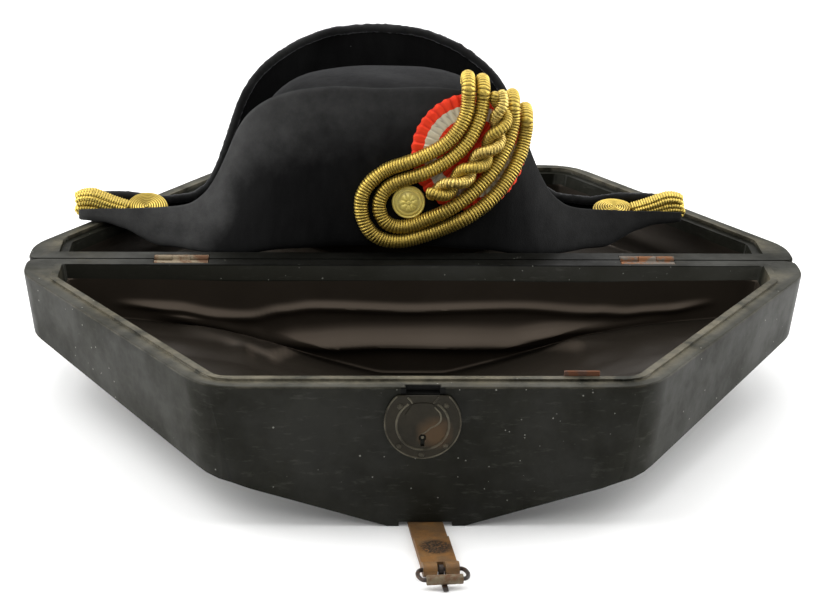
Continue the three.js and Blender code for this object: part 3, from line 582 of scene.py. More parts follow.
# %% The crown
CROWN_LONG, CROWN_WIDE, CROWN_TOP = 97.5, 72.5, 114.0
SQUARE_LONG, SQUARE_WIDE = 3.6, 3.0
CROWN_SEAT = 1.0
DENT, DENT_SCALE, DENT_TALL = 0.8, 0.03, 60.0


def squared(height, power):
    return (1 - height ** power) ** (1 / power)


crown_mesh = bmesh.new()
bmesh.ops.create_uvsphere(crown_mesh, u_segments=96, v_segments=48, radius=1.0)
everything = crown_mesh.verts[:] + crown_mesh.edges[:] + crown_mesh.faces[:]
bmesh.ops.bisect_plane(
    crown_mesh, geom=everything, dist=1e-5, plane_co=(0, 0, 0), plane_no=(0, 0, 1), clear_inner=True
)
for vert in crown_mesh.verts:
    h = min(max(vert.co.z, 0.0), 1.0)
    around = math.atan2(vert.co.y, vert.co.x)
    base = brim_at("low", CROWN_LONG * math.cos(around)) + FELT_THICK + CROWN_SEAT
    x = CROWN_LONG * squared(h, SQUARE_LONG) * math.cos(around)
    y = CROWN_WIDE * squared(h, SQUARE_WIDE) * math.sin(around)
    dent = DENT * noise.noise(Vector((x, y, h * DENT_TALL)) * DENT_SCALE)
    vert.co = hat_spot(x, y, base + (CROWN_TOP + dent - base) * h)
felt_crown = finish_piece("felt_crown", crown_mesh, felt, "tray", ["crown"])
thicken(felt_crown, FELT_THICK * MM)

# %% [markdown]
# ## Tubes along a route
# The trim is all cord: wound wire, twisted strands, bullion rolls, and a plush roll on the back edge.
# A curve with a bevel would draw a smooth pipe, but wound wire has ribs that run round it as a screw.
# So a strip of grid is rolled round the route and its radius follows the winding. Two numbers are kept
# on each point for the finishes: how deep it lies in a groove, and how far along the cord it is.

# %% Tubes along a route
STEPS_BETWEEN = 14


def new_cord_mesh():
    mesh = bmesh.new()
    mesh.verts.layers.float.new("groove")
    mesh.verts.layers.float.new("along")
    return mesh


def smooth_route(knots, spacing):
    """Points at an even spacing on a smooth curve through the knots."""
    ends = [2 * knots[0] - knots[1], *knots, 2 * knots[-1] - knots[-2]]
    dense = []
    for a, b, c, d in zip(ends, ends[1:], ends[2:], ends[3:]):
        for k in range(STEPS_BETWEEN):
            t = k / STEPS_BETWEEN
            bend = (2 * a - 5 * b + 4 * c - d) * t * t + (3 * b - a - 3 * c + d) * t ** 3
            dense.append((2 * b + (c - a) * t + bend) / 2)
    dense.append(knots[-1])
    lengths = [0.0]
    for a, b in zip(dense, dense[1:]):
        lengths.append(lengths[-1] + (b - a).length)
    count = max(2, round(lengths[-1] / spacing))
    spots = []
    k = 0
    for i in range(count + 1):
        goal = lengths[-1] * i / count
        while k < len(dense) - 2 and lengths[k + 1] < goal:
            k += 1
        share = (goal - lengths[k]) / max(lengths[k + 1] - lengths[k], 1e-9)
        spots.append(dense[k].lerp(dense[k + 1], min(share, 1)))
    return spots, lengths[-1]


def side_frames(spots):
    """Two directions across the route at each spot, carried along it without twist."""
    frames = []
    side = None
    for i in range(len(spots)):
        ahead = (spots[min(i + 1, len(spots) - 1)] - spots[max(i - 1, 0)]).normalized()
        side = ahead.orthogonal() if side is None else side - ahead * side.dot(ahead)
        side = side.normalized()
        frames.append((side, ahead.cross(side)))
    return frames


print("routes have", STEPS_BETWEEN, "steps between two knots")

# %% Roll a tube
def roll_tube(mesh, knots, spacing, sides, radius_at, place=hat_spot):
    spots, length = smooth_route(knots, spacing)
    frames = side_frames(spots)
    rings = len(spots) - 1
    groove = mesh.verts.layers.float["groove"]
    along = mesh.verts.layers.float["along"]
    strip = bmesh.ops.create_grid(mesh, x_segments=rings, y_segments=sides, size=1.0)["verts"]
    for vert in strip:
        ring = round((vert.co.x + 1) / 2 * rings)
        turn = (vert.co.y + 1) / 2
        distance = length * ring / rings
        radius, depth = radius_at(distance, turn, length)
        side, up = frames[ring]
        angle = turn * math.tau
        vert[groove] = depth
        vert[along] = distance
        vert.co = place(*(spots[ring] + (side * math.cos(angle) + up * math.sin(angle)) * radius))
    bmesh.ops.remove_doubles(mesh, verts=strip, dist=1e-7)
    return length


def close_cord(mesh):
    bmesh.ops.recalc_face_normals(mesh, faces=mesh.faces)
    return mesh


print("tubes keep their groove and their length on each point")

# %% Ends and windings
UNEVEN, UNEVEN_SCALE = 0.05, 0.16
CRINKLE_ALONG, CRINKLE_ROUND = 0.9, 9


def round_end(distance, length, radius):
    """How much of its radius a tube has near its ends, so that they close as half balls."""
    near = min(distance, length - distance, radius) / radius
    return math.sqrt(max(0.0, 1 - (1 - near) ** 2))


def wound(radius, pitch, depth, seed, crinkle=0.0):
    """A rule for the radius of a cord that is wound with wire at a pitch."""
    def radius_at(distance, turn, length):
        phase = distance / pitch + turn
        across = 2 * (phase - math.floor(phase)) - 1
        rib = math.sqrt(1 - across * across)
        uneven = 1 + UNEVEN * noise.noise(Vector((distance * UNEVEN_SCALE, seed, 0)))
        rough = crinkle * noise.noise(Vector((distance * CRINKLE_ALONG, turn * CRINKLE_ROUND, seed)))
        size = radius * uneven * (1 - depth * (1 - rib) + rough)
        return size * round_end(distance, length, radius), 1 - rib

    return radius_at


print(f"windings vary by {UNEVEN:.0%} along a cord")

# %% [markdown]
# ## Plush on the back edge
# The back flap's edge is bound in a soft black roll, a little paler than the flap's shaded inside. It
# is one tube along the edge, lumpy as pile is, and its top hides the felt's edge.

# %% Plush on the back edge
PLUSH_RADIUS = 3.3
PLUSH_DROP = 2.4
PLUSH_END = TIP - 4
PLUSH_KNOTS = 54
PLUSH_SPACING, PLUSH_SIDES = 1.3, 12
Lump = namedtuple("Lump", "share along round seed")
LUMPS = [Lump(0.14, 0.35, 5, 3), Lump(0.1, 1.3, 13, 8)]


def plush_radius(distance, turn, length):
    lumpy = 1
    for lump in LUMPS:
        lumpy += lump.share * noise.noise(Vector((distance * lump.along, turn * lump.round, lump.seed)))
    return PLUSH_RADIUS * lumpy * round_end(distance, length, PLUSH_RADIUS), 0.0


plush_mesh = new_cord_mesh()
plush_knots = []
for step in range(-PLUSH_KNOTS, PLUSH_KNOTS + 1):
    x = PLUSH_END * step / PLUSH_KNOTS
    plush_knots.append(Vector((x, brim_at("mouth", x) - FELT_THICK / 2, brim_at("back", x) - PLUSH_DROP)))
plush_length = roll_tube(plush_mesh, plush_knots, PLUSH_SPACING, PLUSH_SIDES, plush_radius)
finish_piece("plush_roll", close_cord(plush_mesh), plush, "tray")
print(f"plush roll is {plush_length:.0f} mm long")

# %% [markdown]
# ## Gold wire
# Bullion is fine gilt wire wound over a core. Old bullion is bright on the ribs and brown in the
# grooves, and whole stretches have dulled. The groove number on the mesh drives the dirt, so it sits
# exactly between the windings, and noise along the cord dulls some of the turns.

# %% Gold wire
def make_wire_tarnish():
    """Colour and roughness of old gilt wire from its groove, its place and three colours."""
    group, given, gives = new_group(
        "wire_tarnish",
        [("Vector", "Vector", None), ("Groove", "Float", 0.0), ("Along", "Float", 0.0),
         ("Dull", "Float", 0.5), ("Bright Colour", "Color", (1, 1, 1, 1)),
         ("Dull Colour", "Color", (1, 1, 1, 1)), ("Dirt Colour", "Color", (0, 0, 0, 1))],
        [("Colour", "Color"), ("Roughness", "Float")],
    )
    turns = add(group, "CombineXYZ", {"X": given["Along"]}).outputs["Vector"]
    by_turn = grain(group, turns, 0.45, 3.0, 0.8)
    by_place = grain(group, given["Vector"], 55.0)
    bias = calc(group, "SUBTRACT", given["Dull"], 0.5)
    age = calc(group, "ADD", blend_values(group, 0.5, by_turn, by_place), bias)
    dull = spread(group, age, 0.4, 0.62)
    metal = blend_colours(group, dull, given["Bright Colour"], given["Dull Colour"])
    dirt = spread(group, given["Groove"], 0.18, 0.72)
    group.links.new(blend_colours(group, dirt, metal, given["Dirt Colour"]), gives["Colour"])
    group.links.new(spread(group, largest(group, dull, dirt), 0.0, 1.0, 0.3, 0.52), gives["Roughness"])
    return group


WIRE_TARNISH = make_wire_tarnish()


def wire_finish(name, dull, bright, faded, dirt):
    material, tree, shader = new_finish(name, metallic=0.85)
    where = place_on(tree)
    sockets = {"Vector": where, "Groove": stored(tree, "groove"), "Along": stored(tree, "along")}
    sockets.update({"Dull": dull, "Bright Colour": paint(bright)})
    sockets.update({"Dull Colour": paint(faded), "Dirt Colour": paint(dirt)})
    wire = add(tree, "Group", sockets, node_tree=WIRE_TARNISH).outputs
    feed(tree, shader, base_color=wire["Colour"], roughness=wire["Roughness"])
    relief(tree, shader, grain(tree, where, 2600.0, 2.0), 0.25 * MM, 0.5)
    return material


old_wire = wire_finish("old_wire", 0.5, (0.66, 0.478, 0.096), (0.42, 0.3, 0.064), (0.036, 0.022, 0.005))
bright_wire = wire_finish("bright_wire", 0.42, (0.74, 0.55, 0.15), (0.46, 0.34, 0.11), (0.08, 0.048, 0.01))
tassel_wire = wire_finish("tassel_wire", 0.45, (0.7, 0.515, 0.11), (0.5, 0.37, 0.088), (0.06, 0.038, 0.009))
print("wire finishes:", old_wire.name, bright_wire.name, tassel_wire.name)

# %% [markdown]
# ## Cord loops on the front flap
# Two thick wound cords run side by side as loops round the button, and their ends turn over the flap's
# edge. The routes are lists of points on the flap, x and z in millimetres. The third
# dimension isn't typed in: each point is laid on the flap, the cord's own radius off its face, and a
# little higher where the cockade lies under it.

# %% Routes on the flap
LOOP_OUTER = [
    (58.5, 112), (57.5, 103), (54, 94), (48.5, 86), (41, 79.5), (30, 73.5), (17, 68), (3, 62),
    (-8.5, 54), (-15, 44.5), (-16.3, 34.5), (-14, 24.5), (-8, 16), (2, 11.2), (14, 11),
    (28, 14.8), (43, 20.6), (57, 28), (70, 36), (80.5, 45), (88.8, 55), (95, 65.5), (99, 76), (101, 87),
]
LOOP_INNER = [
    (69, 111), (67.8, 102), (64.5, 92.5), (59, 82.5), (50.5, 73.5), (39.5, 66), (27, 60), (13, 54.8),
    (2.2, 48.5), (-3, 40), (-3, 31.5), (1.2, 24.4), (9, 21.1), (20, 22.2), (33, 28), (45, 34.2),
    (57, 42), (68, 51), (77.2, 61), (84, 72), (88.8, 83), (91, 93),
]
TWIST = [
    (79, 117), (80.5, 110), (82, 101), (81, 91.5), (77.2, 82), (70.8, 72.8), (61, 63.5), (51, 55.5),
    (41.5, 49), (29.5, 46),
]
CORD_RADIUS = 4.6
TRIM_GAP = 0.9
COCKADE_X, COCKADE_Z, COCKADE_RADIUS = 60.5, 72.5, 41.5
COCKADE_RISE = 3.8
COCKADE_RAMP = 10.0
EDGE_RISE = 3.0
print("points of the routes:", len(LOOP_OUTER), len(LOOP_INNER), len(TWIST))

# %% Lay a route on the flap
def stand_off(x, z):
    outside = math.hypot(x - COCKADE_X, z - COCKADE_Z) - COCKADE_RADIUS
    over = min(max(1 - (outside - CORD_RADIUS) / COCKADE_RAMP, 0), 1)
    return TRIM_GAP + over * COCKADE_RISE


def on_flap(spot, radius):
    x, z = spot
    return Vector((x, front_face(x, z) - stand_off(x, z) - radius, z))


def over_edge(spot, radius):
    """The turn of a cord over the flap's edge and down behind it."""
    x = spot[0]
    top = brim_at("front", x - radius)
    edge = -brim_at("mouth", x)
    return [
        Vector((x, edge - radius - stand_off(x, top), top + EDGE_RISE)),
        Vector((x, edge - radius / 2, top + radius + EDGE_RISE)),
        Vector((x, edge + FELT_THICK + radius / 2, top + radius + EDGE_RISE)),
        Vector((x, edge + FELT_THICK + radius + TRIM_GAP, top - 1)),
    ]


def loop_knots(route):
    start = over_edge(route[0], CORD_RADIUS)[::-1]
    end = over_edge(route[-1], CORD_RADIUS)
    return [*start, *(on_flap(spot, CORD_RADIUS) for spot in route), *end]


print(f"cords lie {TRIM_GAP} mm off the felt, and {TRIM_GAP + COCKADE_RISE:.1f} mm over the cockade")

# %% Wind the loops
LOOP_FULL = 5.2
LOOP_PITCH = 2.1
CORD_RIB = 0.2
RINGS_PER_TURN, LOOP_SIDES = 6, 16
LOOP_SEEDS = 10
LOOPS = {"loop_outer": LOOP_OUTER, "loop_inner": LOOP_INNER}
for seed, (name, route) in enumerate(LOOPS.items(), LOOP_SEEDS):
    cord_mesh = new_cord_mesh()
    winding = wound(LOOP_FULL, LOOP_PITCH, CORD_RIB, seed)
    length = roll_tube(cord_mesh, loop_knots(route), LOOP_PITCH / RINGS_PER_TURN, LOOP_SIDES, winding)
    finish_piece("wound_" + name, close_cord(cord_mesh), old_wire, "tray", [name])
    print(f"wound_{name} is {length:.0f} mm long")

# %% [markdown]
# ## The twisted strands
# Between the loops lies a rope of two strands. One is wound as the loops are, the other with crinkled
# wire that sparkles. The strands circle a common route half a turn apart, so their knots are worked out
# on a helix round that route. The helix is tighter at its ends, where the rope is sewn down.

# %% The twisted strands
TWIST_REACH = 4.3
TWIST_PITCH = 33.0
TWIST_EASE = 16.0
TWIST_END_SHARE = 0.45
TWIST_SPACING = 3.0
STRAND_FULL, STRAND_SINK = 4.2, 0.6
STRAND_WIND, STRAND_SIDES = 1.9, 14
STRAND_SEED = 20


def strand_knots(phase):
    middle = [on_flap(spot, TWIST_REACH + STRAND_FULL - STRAND_SINK) for spot in TWIST]
    spots, length = smooth_route(middle, TWIST_SPACING)
    knots = []
    for i, (spot, (side, up)) in enumerate(zip(spots, side_frames(spots))):
        distance = length * i / (len(spots) - 1)
        from_end = min(distance, length - distance, TWIST_EASE) / TWIST_EASE
        reach = TWIST_REACH * (TWIST_END_SHARE + (1 - TWIST_END_SHARE) * from_end)
        angle = phase + math.tau * distance / TWIST_PITCH
        knots.append(spot + (side * math.cos(angle) + up * math.sin(angle)) * reach)
    return knots


Strand = namedtuple("Strand", "node phase crinkle wire")
for strand in (Strand("twist_a", 0.0, 0.02, old_wire), Strand("twist_b", math.pi, 0.12, bright_wire)):
    strand_mesh = new_cord_mesh()
    winding = wound(STRAND_FULL, STRAND_WIND, CORD_RIB, STRAND_SEED + strand.phase, strand.crinkle)
    knots = strand_knots(strand.phase)
    roll_tube(strand_mesh, knots, STRAND_WIND / RINGS_PER_TURN, STRAND_SIDES, winding)
    nodes = [strand.node]
    finish_piece("wound_" + strand.node, close_cord(strand_mesh), strand.wire, "tray", nodes)

# %% [markdown]
# ## Bullion tassels
# At each tip a bundle of stiff bullion rolls lies in the gutter, headed by a flat disc of coiled cord.
# The rolls are short wound tubes in five rows. Each leaves the disc low, climbs out of the gutter
# towards the tip and curls down at its end. The rows only differ by where they start and how high they
# climb. The disc is a profile with ridges, spun once round, as a turner would make it.

# %% Bullion rolls
ROLL_TO = 227.0
ROLL_RADIUS = 2.5
ROLL_PITCH = 1.9
ROLL_RIB = 0.4
ROLL_RINGS, ROLL_SIDES = 5, 10
ROLL_SWAY, ROLL_SHORTER = 0.6, 2.6
SIDES = {"left": -1, "right": 1}
RollRow = namedtuple("RollRow", "start low climb high curl across")
ROLL_ROWS = [
    RollRow(195.0, 6.2, 6.6, 7.4, 5.2, (-5.4, -1.8, 1.8, 5.4)),
    RollRow(193.0, 6.8, 8.3, 10.4, 7.8, (-6, -2, 2, 6)),
    RollRow(190.5, 7.4, 10.4, 13.7, 10.8, (-6, -2, 2, 6)),
    RollRow(188.0, 8.8, 12.8, 17.0, 14.0, (-5.8, -1.9, 1.9, 5.8)),
    RollRow(185.5, 10.6, 15.2, 20.2, 17.2, (-3.9, 0, 3.9)),
]
RollKnot = namedtuple("RollKnot", "share gather height drop sway aside")
ROLL_KNOTS = [
    RollKnot(0.0, 0.9, "low", 0.0, 0.0, 0),
    RollKnot(0.36, 1.0, "climb", 0.0, 0.4, 0),
    RollKnot(0.68, 0.92, "high", 0.0, 1.0, 0),
    RollKnot(0.9, 0.8, "high", 0.4, 1.0, 0),
    RollKnot(1.0, 0.7, "curl", 0.0, 1.0, 1),
]


def roll_knots(row, side, y, sway, end):
    knots = []
    for knot in ROLL_KNOTS:
        x = side * (row.start + (end - row.start) * knot.share)
        z = getattr(row, knot.height) - knot.drop + sway * knot.sway
        knots.append(Vector((x, y * knot.gather + sway * knot.aside, z)))
    return knots


for label, side in SIDES.items():
    draw = random.Random(f"fringe {label}")
    fringe_mesh = new_cord_mesh()
    for row in ROLL_ROWS:
        for y in row.across:
            sway = draw.uniform(-ROLL_SWAY, ROLL_SWAY)
            end = ROLL_TO - draw.uniform(0, ROLL_SHORTER)
            winding = wound(ROLL_RADIUS, ROLL_PITCH, ROLL_RIB, y + 7 * side)
            knots = roll_knots(row, side, y, sway, end)
            roll_tube(fringe_mesh, knots, ROLL_PITCH / ROLL_RINGS, ROLL_SIDES, winding)
    nodes = [f"tassel_fringe_{label}"]
    finish_piece(f"bullion_{label}", close_cord(fringe_mesh), tassel_wire, "tray", nodes)

# %% Coiled discs
DISC_X, DISC_Y, DISC_Z = 174.0, 0.5, 6.8
DISC_LEANS = {"left": math.radians(32), "right": math.radians(14)}
DISC_RADIUS, DISC_HIGH, DISC_EDGE = 16.2, 5.8, 1.4
DISC_RIDGES, RIDGE_STEPS, RIDGE_DEEP = 9, 6, 0.85
DISC_STEPS = 72


def spin_profile(mesh, points, steps, depths=()):
    """Turn a profile, given as radius and height, once round the z axis."""
    spine = [mesh.verts.new((radius, 0, high)) for radius, high in points]
    for vert, depth in zip(spine, depths):
        vert[mesh.verts.layers.float["groove"]] = depth
    edges = [mesh.edges.new(pair) for pair in zip(spine, spine[1:])]
    bmesh.ops.spin(
        mesh, geom=spine + edges, cent=(0, 0, 0), axis=(0, 0, 1), angle=math.tau, steps=steps, use_merge=True
    )
    bmesh.ops.remove_doubles(mesh, verts=mesh.verts, dist=1e-4)


def put_on_hat(mesh, place):
    bmesh.ops.transform(mesh, matrix=place, verts=mesh.verts)
    for vert in mesh.verts:
        vert.co = hat_spot(*vert.co)


def disc_profile():
    """Radius and height, and groove, from the back's middle round the edge to the face's middle."""
    points = [(0, 0), (DISC_RADIUS * 0.9, 0), (DISC_RADIUS * 0.99, DISC_EDGE / 2)]
    depths = [0, 0, 0.5]
    for k in range(DISC_RIDGES * RIDGE_STEPS + 1):
        t = k / (DISC_RIDGES * RIDGE_STEPS)
        dome = DISC_EDGE + (DISC_HIGH - DISC_EDGE) * math.sqrt(1 - (1 - t) ** 2)
        rib = abs(math.sin(math.pi * DISC_RIDGES * t))
        points.append((DISC_RADIUS * (1 - t), dome - RIDGE_DEEP * (1 - rib)))
        depths.append(1 - rib)
    return points, depths


for label, side in SIDES.items():
    disc_mesh = new_cord_mesh()
    points, depths = disc_profile()
    spin_profile(disc_mesh, points, DISC_STEPS, depths)
    turned = Matrix.Rotation(DISC_LEANS[label], 4, "X")
    put_on_hat(disc_mesh, Matrix.Translation((side * DISC_X, DISC_Y, DISC_Z)) @ turned)
    nodes = [f"tassel_disc_{label}"]
    finish_piece(f"coiled_disc_{label}", close_cord(disc_mesh), tassel_wire, "tray", nodes)

# %% [markdown]
# ## The cockade
# A silk ribbon is pleated round a centre into a disc: red, then a pale ring, then red. A spun strip gives
# the rings, and lifting its points as a saw edge round the centre gives the pleats. Radius and pleat are
# kept on the points, so the finish can colour the rings and paint shade into the folds whatever way it
# is seen.

# %% Silk
RING_RED, RING_PALE = 33.0, 24.0
RED_DARK, RED_LIGHT, RED_FOLD_SHADE = (0.94, 0.04, 0.013), (1.0, 0.08, 0.026), (0.55, 0.012, 0.008)
PALE_SILK, PALE_FOLD_SHADE = (0.74, 0.7, 0.55), (0.36, 0.32, 0.24)


def silk_finish():
    material, tree, shader = new_finish("silk", roughness=0.55, sheen_weight=0.05, specular_ior_level=0.15)
    radius = stored(tree, "radius")
    beyond = calc(tree, "GREATER_THAN", radius, RING_PALE)
    pale_ring = times(tree, beyond, calc(tree, "LESS_THAN", radius, RING_RED))
    where = place_on(tree)
    red = mottle(tree, where, 90.0, 0.3, RED_DARK, RED_LIGHT)
    ribbon = blend_colours(tree, pale_ring, red["Colour"], PALE_SILK)
    # Painted shade: one side of each pleat gets a darker red, or a darker pale colour in the pale ring.
    fold_shade = blend_colours(tree, pale_ring, RED_FOLD_SHADE, PALE_FOLD_SHADE)
    shade_share = spread(tree, stored(tree, "fold"), 0.45, 1.0, 0.0, 0.8)
    feed(tree, shader, base_color=blend_colours(tree, shade_share, ribbon, fold_shade))
    relief(tree, shader, grain(tree, where, 3200.0, 2.0), 0.15 * MM, 0.4)
    return material


silk = silk_finish()
print("pale ring from", RING_PALE, "to", RING_RED, "mm")

# %% Pleat the cockade
PLEATS, PLEAT_STEPS, PLEAT_HIGH = 38, 5, 1.5
PLEAT_UNEVEN, PLEAT_VARY = 0.35, 9
SCALLOP = 0.012
RIBBON_LIFT, RIBBON_THICK = TRIM_GAP / 2 + 0.5, 0.4
RIBBON_RADII = (0, 6, 12, 18, 22, 24.01, 27, 30, 32.99, 35, 38, 41.5)

ribbon_mesh = bmesh.new()
ring_layer = ribbon_mesh.verts.layers.float.new("radius")
fold_layer = ribbon_mesh.verts.layers.float.new("fold")
spin_profile(ribbon_mesh, [(radius, 0) for radius in RIBBON_RADII], PLEATS * PLEAT_STEPS)
for vert in ribbon_mesh.verts:
    radius = vert.co.xy.length
    around = math.atan2(vert.co.y, vert.co.x)
    beat = (around / math.tau * PLEATS) % 1.0
    uneven = 1 + PLEAT_UNEVEN * noise.noise(Vector((math.cos(around), math.sin(around), 0)) * PLEAT_VARY)
    share = radius / COCKADE_RADIUS
    lift = RIBBON_LIFT + PLEAT_HIGH * (1 - beat) * share * uneven
    reach = radius * (1 + SCALLOP * math.sin(around * PLEATS) * share)
    x = COCKADE_X + reach * math.cos(around)
    z = COCKADE_Z + reach * math.sin(around)
    vert[ring_layer] = radius
    vert[fold_layer] = beat if radius > 1 else 0.5
    vert.co = hat_spot(x, front_face(x, z) - lift, z)
bmesh.ops.recalc_face_normals(ribbon_mesh, faces=ribbon_mesh.faces)
look_towards(ribbon_mesh, TO_FRONT, ribbon_mesh.faces)
cockade = finish_piece("pleated_cockade", ribbon_mesh, silk, "tray", ["cockade"])
thicken(cockade, RIBBON_THICK * MM)

# %% [markdown]
# ## The button
# A domed gilt button holds the loops. It is turned: a profile spun round its axis. Its face carries a
# plain rosette inside a roped ring, raised by lifting the dome's points, because a relief this size has
# to catch the light as metal does.

# %% Gilt
GILT_DARK, GILT_LIGHT, GILT_DIRT = (0.98, 0.76, 0.16), (1.0, 0.87, 0.25), (0.22, 0.13, 0.03)


def gilt_finish():
    material, tree, shader = new_finish("gilt", metallic=0.15)
    where = place_on(tree)
    cloud = mottle(tree, where, 140.0, 0.25, GILT_DARK, GILT_LIGHT)
    dirt = spread(tree, stored(tree, "groove"), 0.3, 1.0, 0.0, 0.35)
    colour = blend_colours(tree, dirt, cloud["Colour"], GILT_DIRT)
    feed(tree, shader, base_color=colour, roughness=spread(tree, cloud["Value"], 0, 1, 0.42, 0.24))
    relief(tree, shader, grain(tree, where, 1800.0, 3.0), 0.12 * MM, 0.4)
    return material


gilt = gilt_finish()
print("button's finish:", gilt.name)

# %% Turn the button
BUTTON_X, BUTTON_Z = 17.2, 38.0
BUTTON_STEPS, FACE_RINGS = 144, 26
RIM_INSIDE, FACE_ABOVE = 10.2, 3
DOME_TOP, DOME_FALL = 6.4, 1.7
ROPE_AT, ROPE_HALF, ROPE_HIGH, ROPE_TURNS, ROPE_TWIST = 8.6, 0.75, 0.45, 36, 0.25
PETALS, PETAL_FROM, PETAL_LONG, PETAL_HIGH, PETAL_FULL = 8, 1.6, 5.2, 0.6, 0.6
EYE_RADIUS, EYE_HIGH = 1.5, 0.55
CLEAN_ABOVE, RIM_DIRT = 0.3, 0.8
BUTTON_BACK = [
    (0, 0), (4, 0), (4, 2.4), (10.6, 2.4), (11.5, 2.8), (11.8, 3.6), (11.6, 4.5), (11.0, 5.0), (10.4, 4.9),
]


def dome(radius):
    return DOME_TOP - DOME_FALL * (radius / RIM_INSIDE) ** 2


def face_relief(radius, around):
    """Height of the rosette and the roped ring above the dome."""
    rope = math.sqrt(max(0.0, 1 - abs(radius - ROPE_AT) / ROPE_HALF))
    height = ROPE_HIGH * rope * (1 - ROPE_TWIST + ROPE_TWIST * math.sin(ROPE_TURNS * around + radius * 2))
    petal = abs(math.cos(PETALS / 2 * around)) ** PETAL_FULL
    height += PETAL_HIGH * petal * math.sin(math.pi * min(max((radius - PETAL_FROM) / PETAL_LONG, 0), 1))
    return height + EYE_HIGH * math.sqrt(max(0.0, 1 - (radius / EYE_RADIUS) ** 2))


button_mesh = new_cord_mesh()
face_radii = [RIM_INSIDE * (1 - k / FACE_RINGS) for k in range(FACE_RINGS + 1)]
spin_profile(button_mesh, [*BUTTON_BACK, *((radius, dome(radius)) for radius in face_radii)], BUTTON_STEPS)
groove = button_mesh.verts.layers.float["groove"]
for vert in button_mesh.verts:
    radius = vert.co.xy.length
    if radius <= RIM_INSIDE + 0.01 and vert.co.z > FACE_ABOVE:
        raised = face_relief(radius, math.atan2(vert.co.y, vert.co.x))
        vert.co.z += raised
        vert[groove] = 1 - min(raised / CLEAN_ABOVE, 1) if radius < ROPE_AT + 1 else RIM_DIRT
lean = math.atan(front_face(BUTTON_X, BUTTON_Z + 1) - front_face(BUTTON_X, BUTTON_Z))
seat = Matrix.Translation((BUTTON_X, front_face(BUTTON_X, BUTTON_Z) - TRIM_GAP, BUTTON_Z))
put_on_hat(button_mesh, seat @ Matrix.Rotation(math.pi / 2 - lean, 4, "X"))
finish_piece("gilt_button", close_cord(button_mesh), gilt, "tray", ["button"])

# %% [markdown]
# ## Lacquer
# The case is thin wood under black lacquer that has gone grey with handling. Layers tell that story:
# the black, a bloom of dust in cloudy patches, patchy grey on the rims and slanted sides that is partly
# wear and partly painted light, fine scuffs and white specks, and bare paler edges. The polish is a clear
# coat that has gone in patches. Which way a face looks, in the piece's own frame, tells rims from sides:
# the sides, which face the side lamps, and the rims, which face up, are painted paler as lit. The edges
# are marked on the mesh where it is bevelled, so the wear can't slide off them. The hinge rims under the
# hat, most of all in the middle, and the lock's notch are painted near black as shade. Dust has settled
# on the strip above the lid's lining, and pale drops have dried on the lid's left side.

# %% Places on the lacquer
RIM_NEAR = 0.8 * MM
HINGE_RIMS = 17 * MM
DARK_MIDDLE = (0.12, 0.23)
plate_low, plate_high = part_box("lock_plate")
NOTCH = Vector(((plate_low.x + plate_high.x) / 2, plate_low.y + 6 * MM, hinge_line.z - 3 * MM))
NOTCH_HALF = Vector((13.6, 8, 2.6)) * MM
STRIP = Vector((0, hinge_line.y - 13 * MM, hinge_line.z - 6 * MM))
STRIP_HALF = Vector((270, 1.5, 5.4)) * MM
SPILL, SPILL_REACH = Vector((-0.222, -0.24, 0.052)), (0.015, 0.06)


def in_box(tree, where, middle, half):
    """1 inside a box with this middle and these half sizes, and 0 outside it."""
    share = vector_calc(tree, "DIVIDE", vector_calc(tree, "SUBTRACT", where, middle), half)
    part = split(tree, vector_calc(tree, "ABSOLUTE", share))
    return calc(tree, "LESS_THAN", largest(tree, part["X"], part["Y"], part["Z"]), 1.0)


def distance_to(tree, where, spot):
    return vector_calc(tree, "DISTANCE", where, spot, "Value")


print("lock's notch at", tuple(round(v, 4) for v in NOTCH))

# %% Marks on the lacquer
BLACK, BLOOM = (0.0072, 0.0072, 0.0052), (0.0172, 0.0172, 0.0128)
DUST_AND_LIT, SCUFF, BARE = (0.046, 0.0455, 0.0365), (0.08, 0.082, 0.067), (0.13, 0.115, 0.08)
PAINTED_SHADE_BLACK, SPECK = (0.003, 0.003, 0.0026), (0.34, 0.34, 0.3)
STREAK_SCALE, STREAK_TURN = (9, 9, 40), (0.4, 0.2, 0.5)
SIDE_PAINTED_LIGHT, STRIP_DUSTY, SCUFF_STRONG, SPECK_STRONG = 0.34, 0.32, 0.28, 0.55


def dust_and_painted_light(tree, where, look, level, patches):
    """Mask of painted light on the slanted sides, of wear and painted light on the rims, and of dust on the
    strip above the lid's lining.
    """
    side = times(tree, spread(tree, calc(tree, "ABSOLUTE", look["X"]), 0.4, 0.9), SIDE_PAINTED_LIGHT)
    rim = times(tree, spread(tree, look["Z"], 0.85, 1.0), level)
    lit_and_rubbed = times(tree, largest(tree, side, rim), spread(tree, patches, *MIDDLING, 0.15, 1.0))
    return largest(tree, lit_and_rubbed, times(tree, in_box(tree, where, STRIP, STRIP_HALF), STRIP_DUSTY))


def painted_shade_places(tree, where, level):
    """Mask of painted shade: the hat's shadow on the hinge rims, most of all in the middle, and the lock's
    notch.
    """
    spot = split(tree, where)
    from_hinge = calc(tree, "ABSOLUTE", calc(tree, "SUBTRACT", spot["Y"], hinge_line.y))
    hinge_rims = times(tree, calc(tree, "LESS_THAN", from_hinge, HINGE_RIMS), level)
    by_place = spread(tree, calc(tree, "ABSOLUTE", spot["X"]), *DARK_MIDDLE, 0.9, 0.3)
    return largest(tree, times(tree, hinge_rims, by_place), in_box(tree, where, NOTCH, NOTCH_HALF))


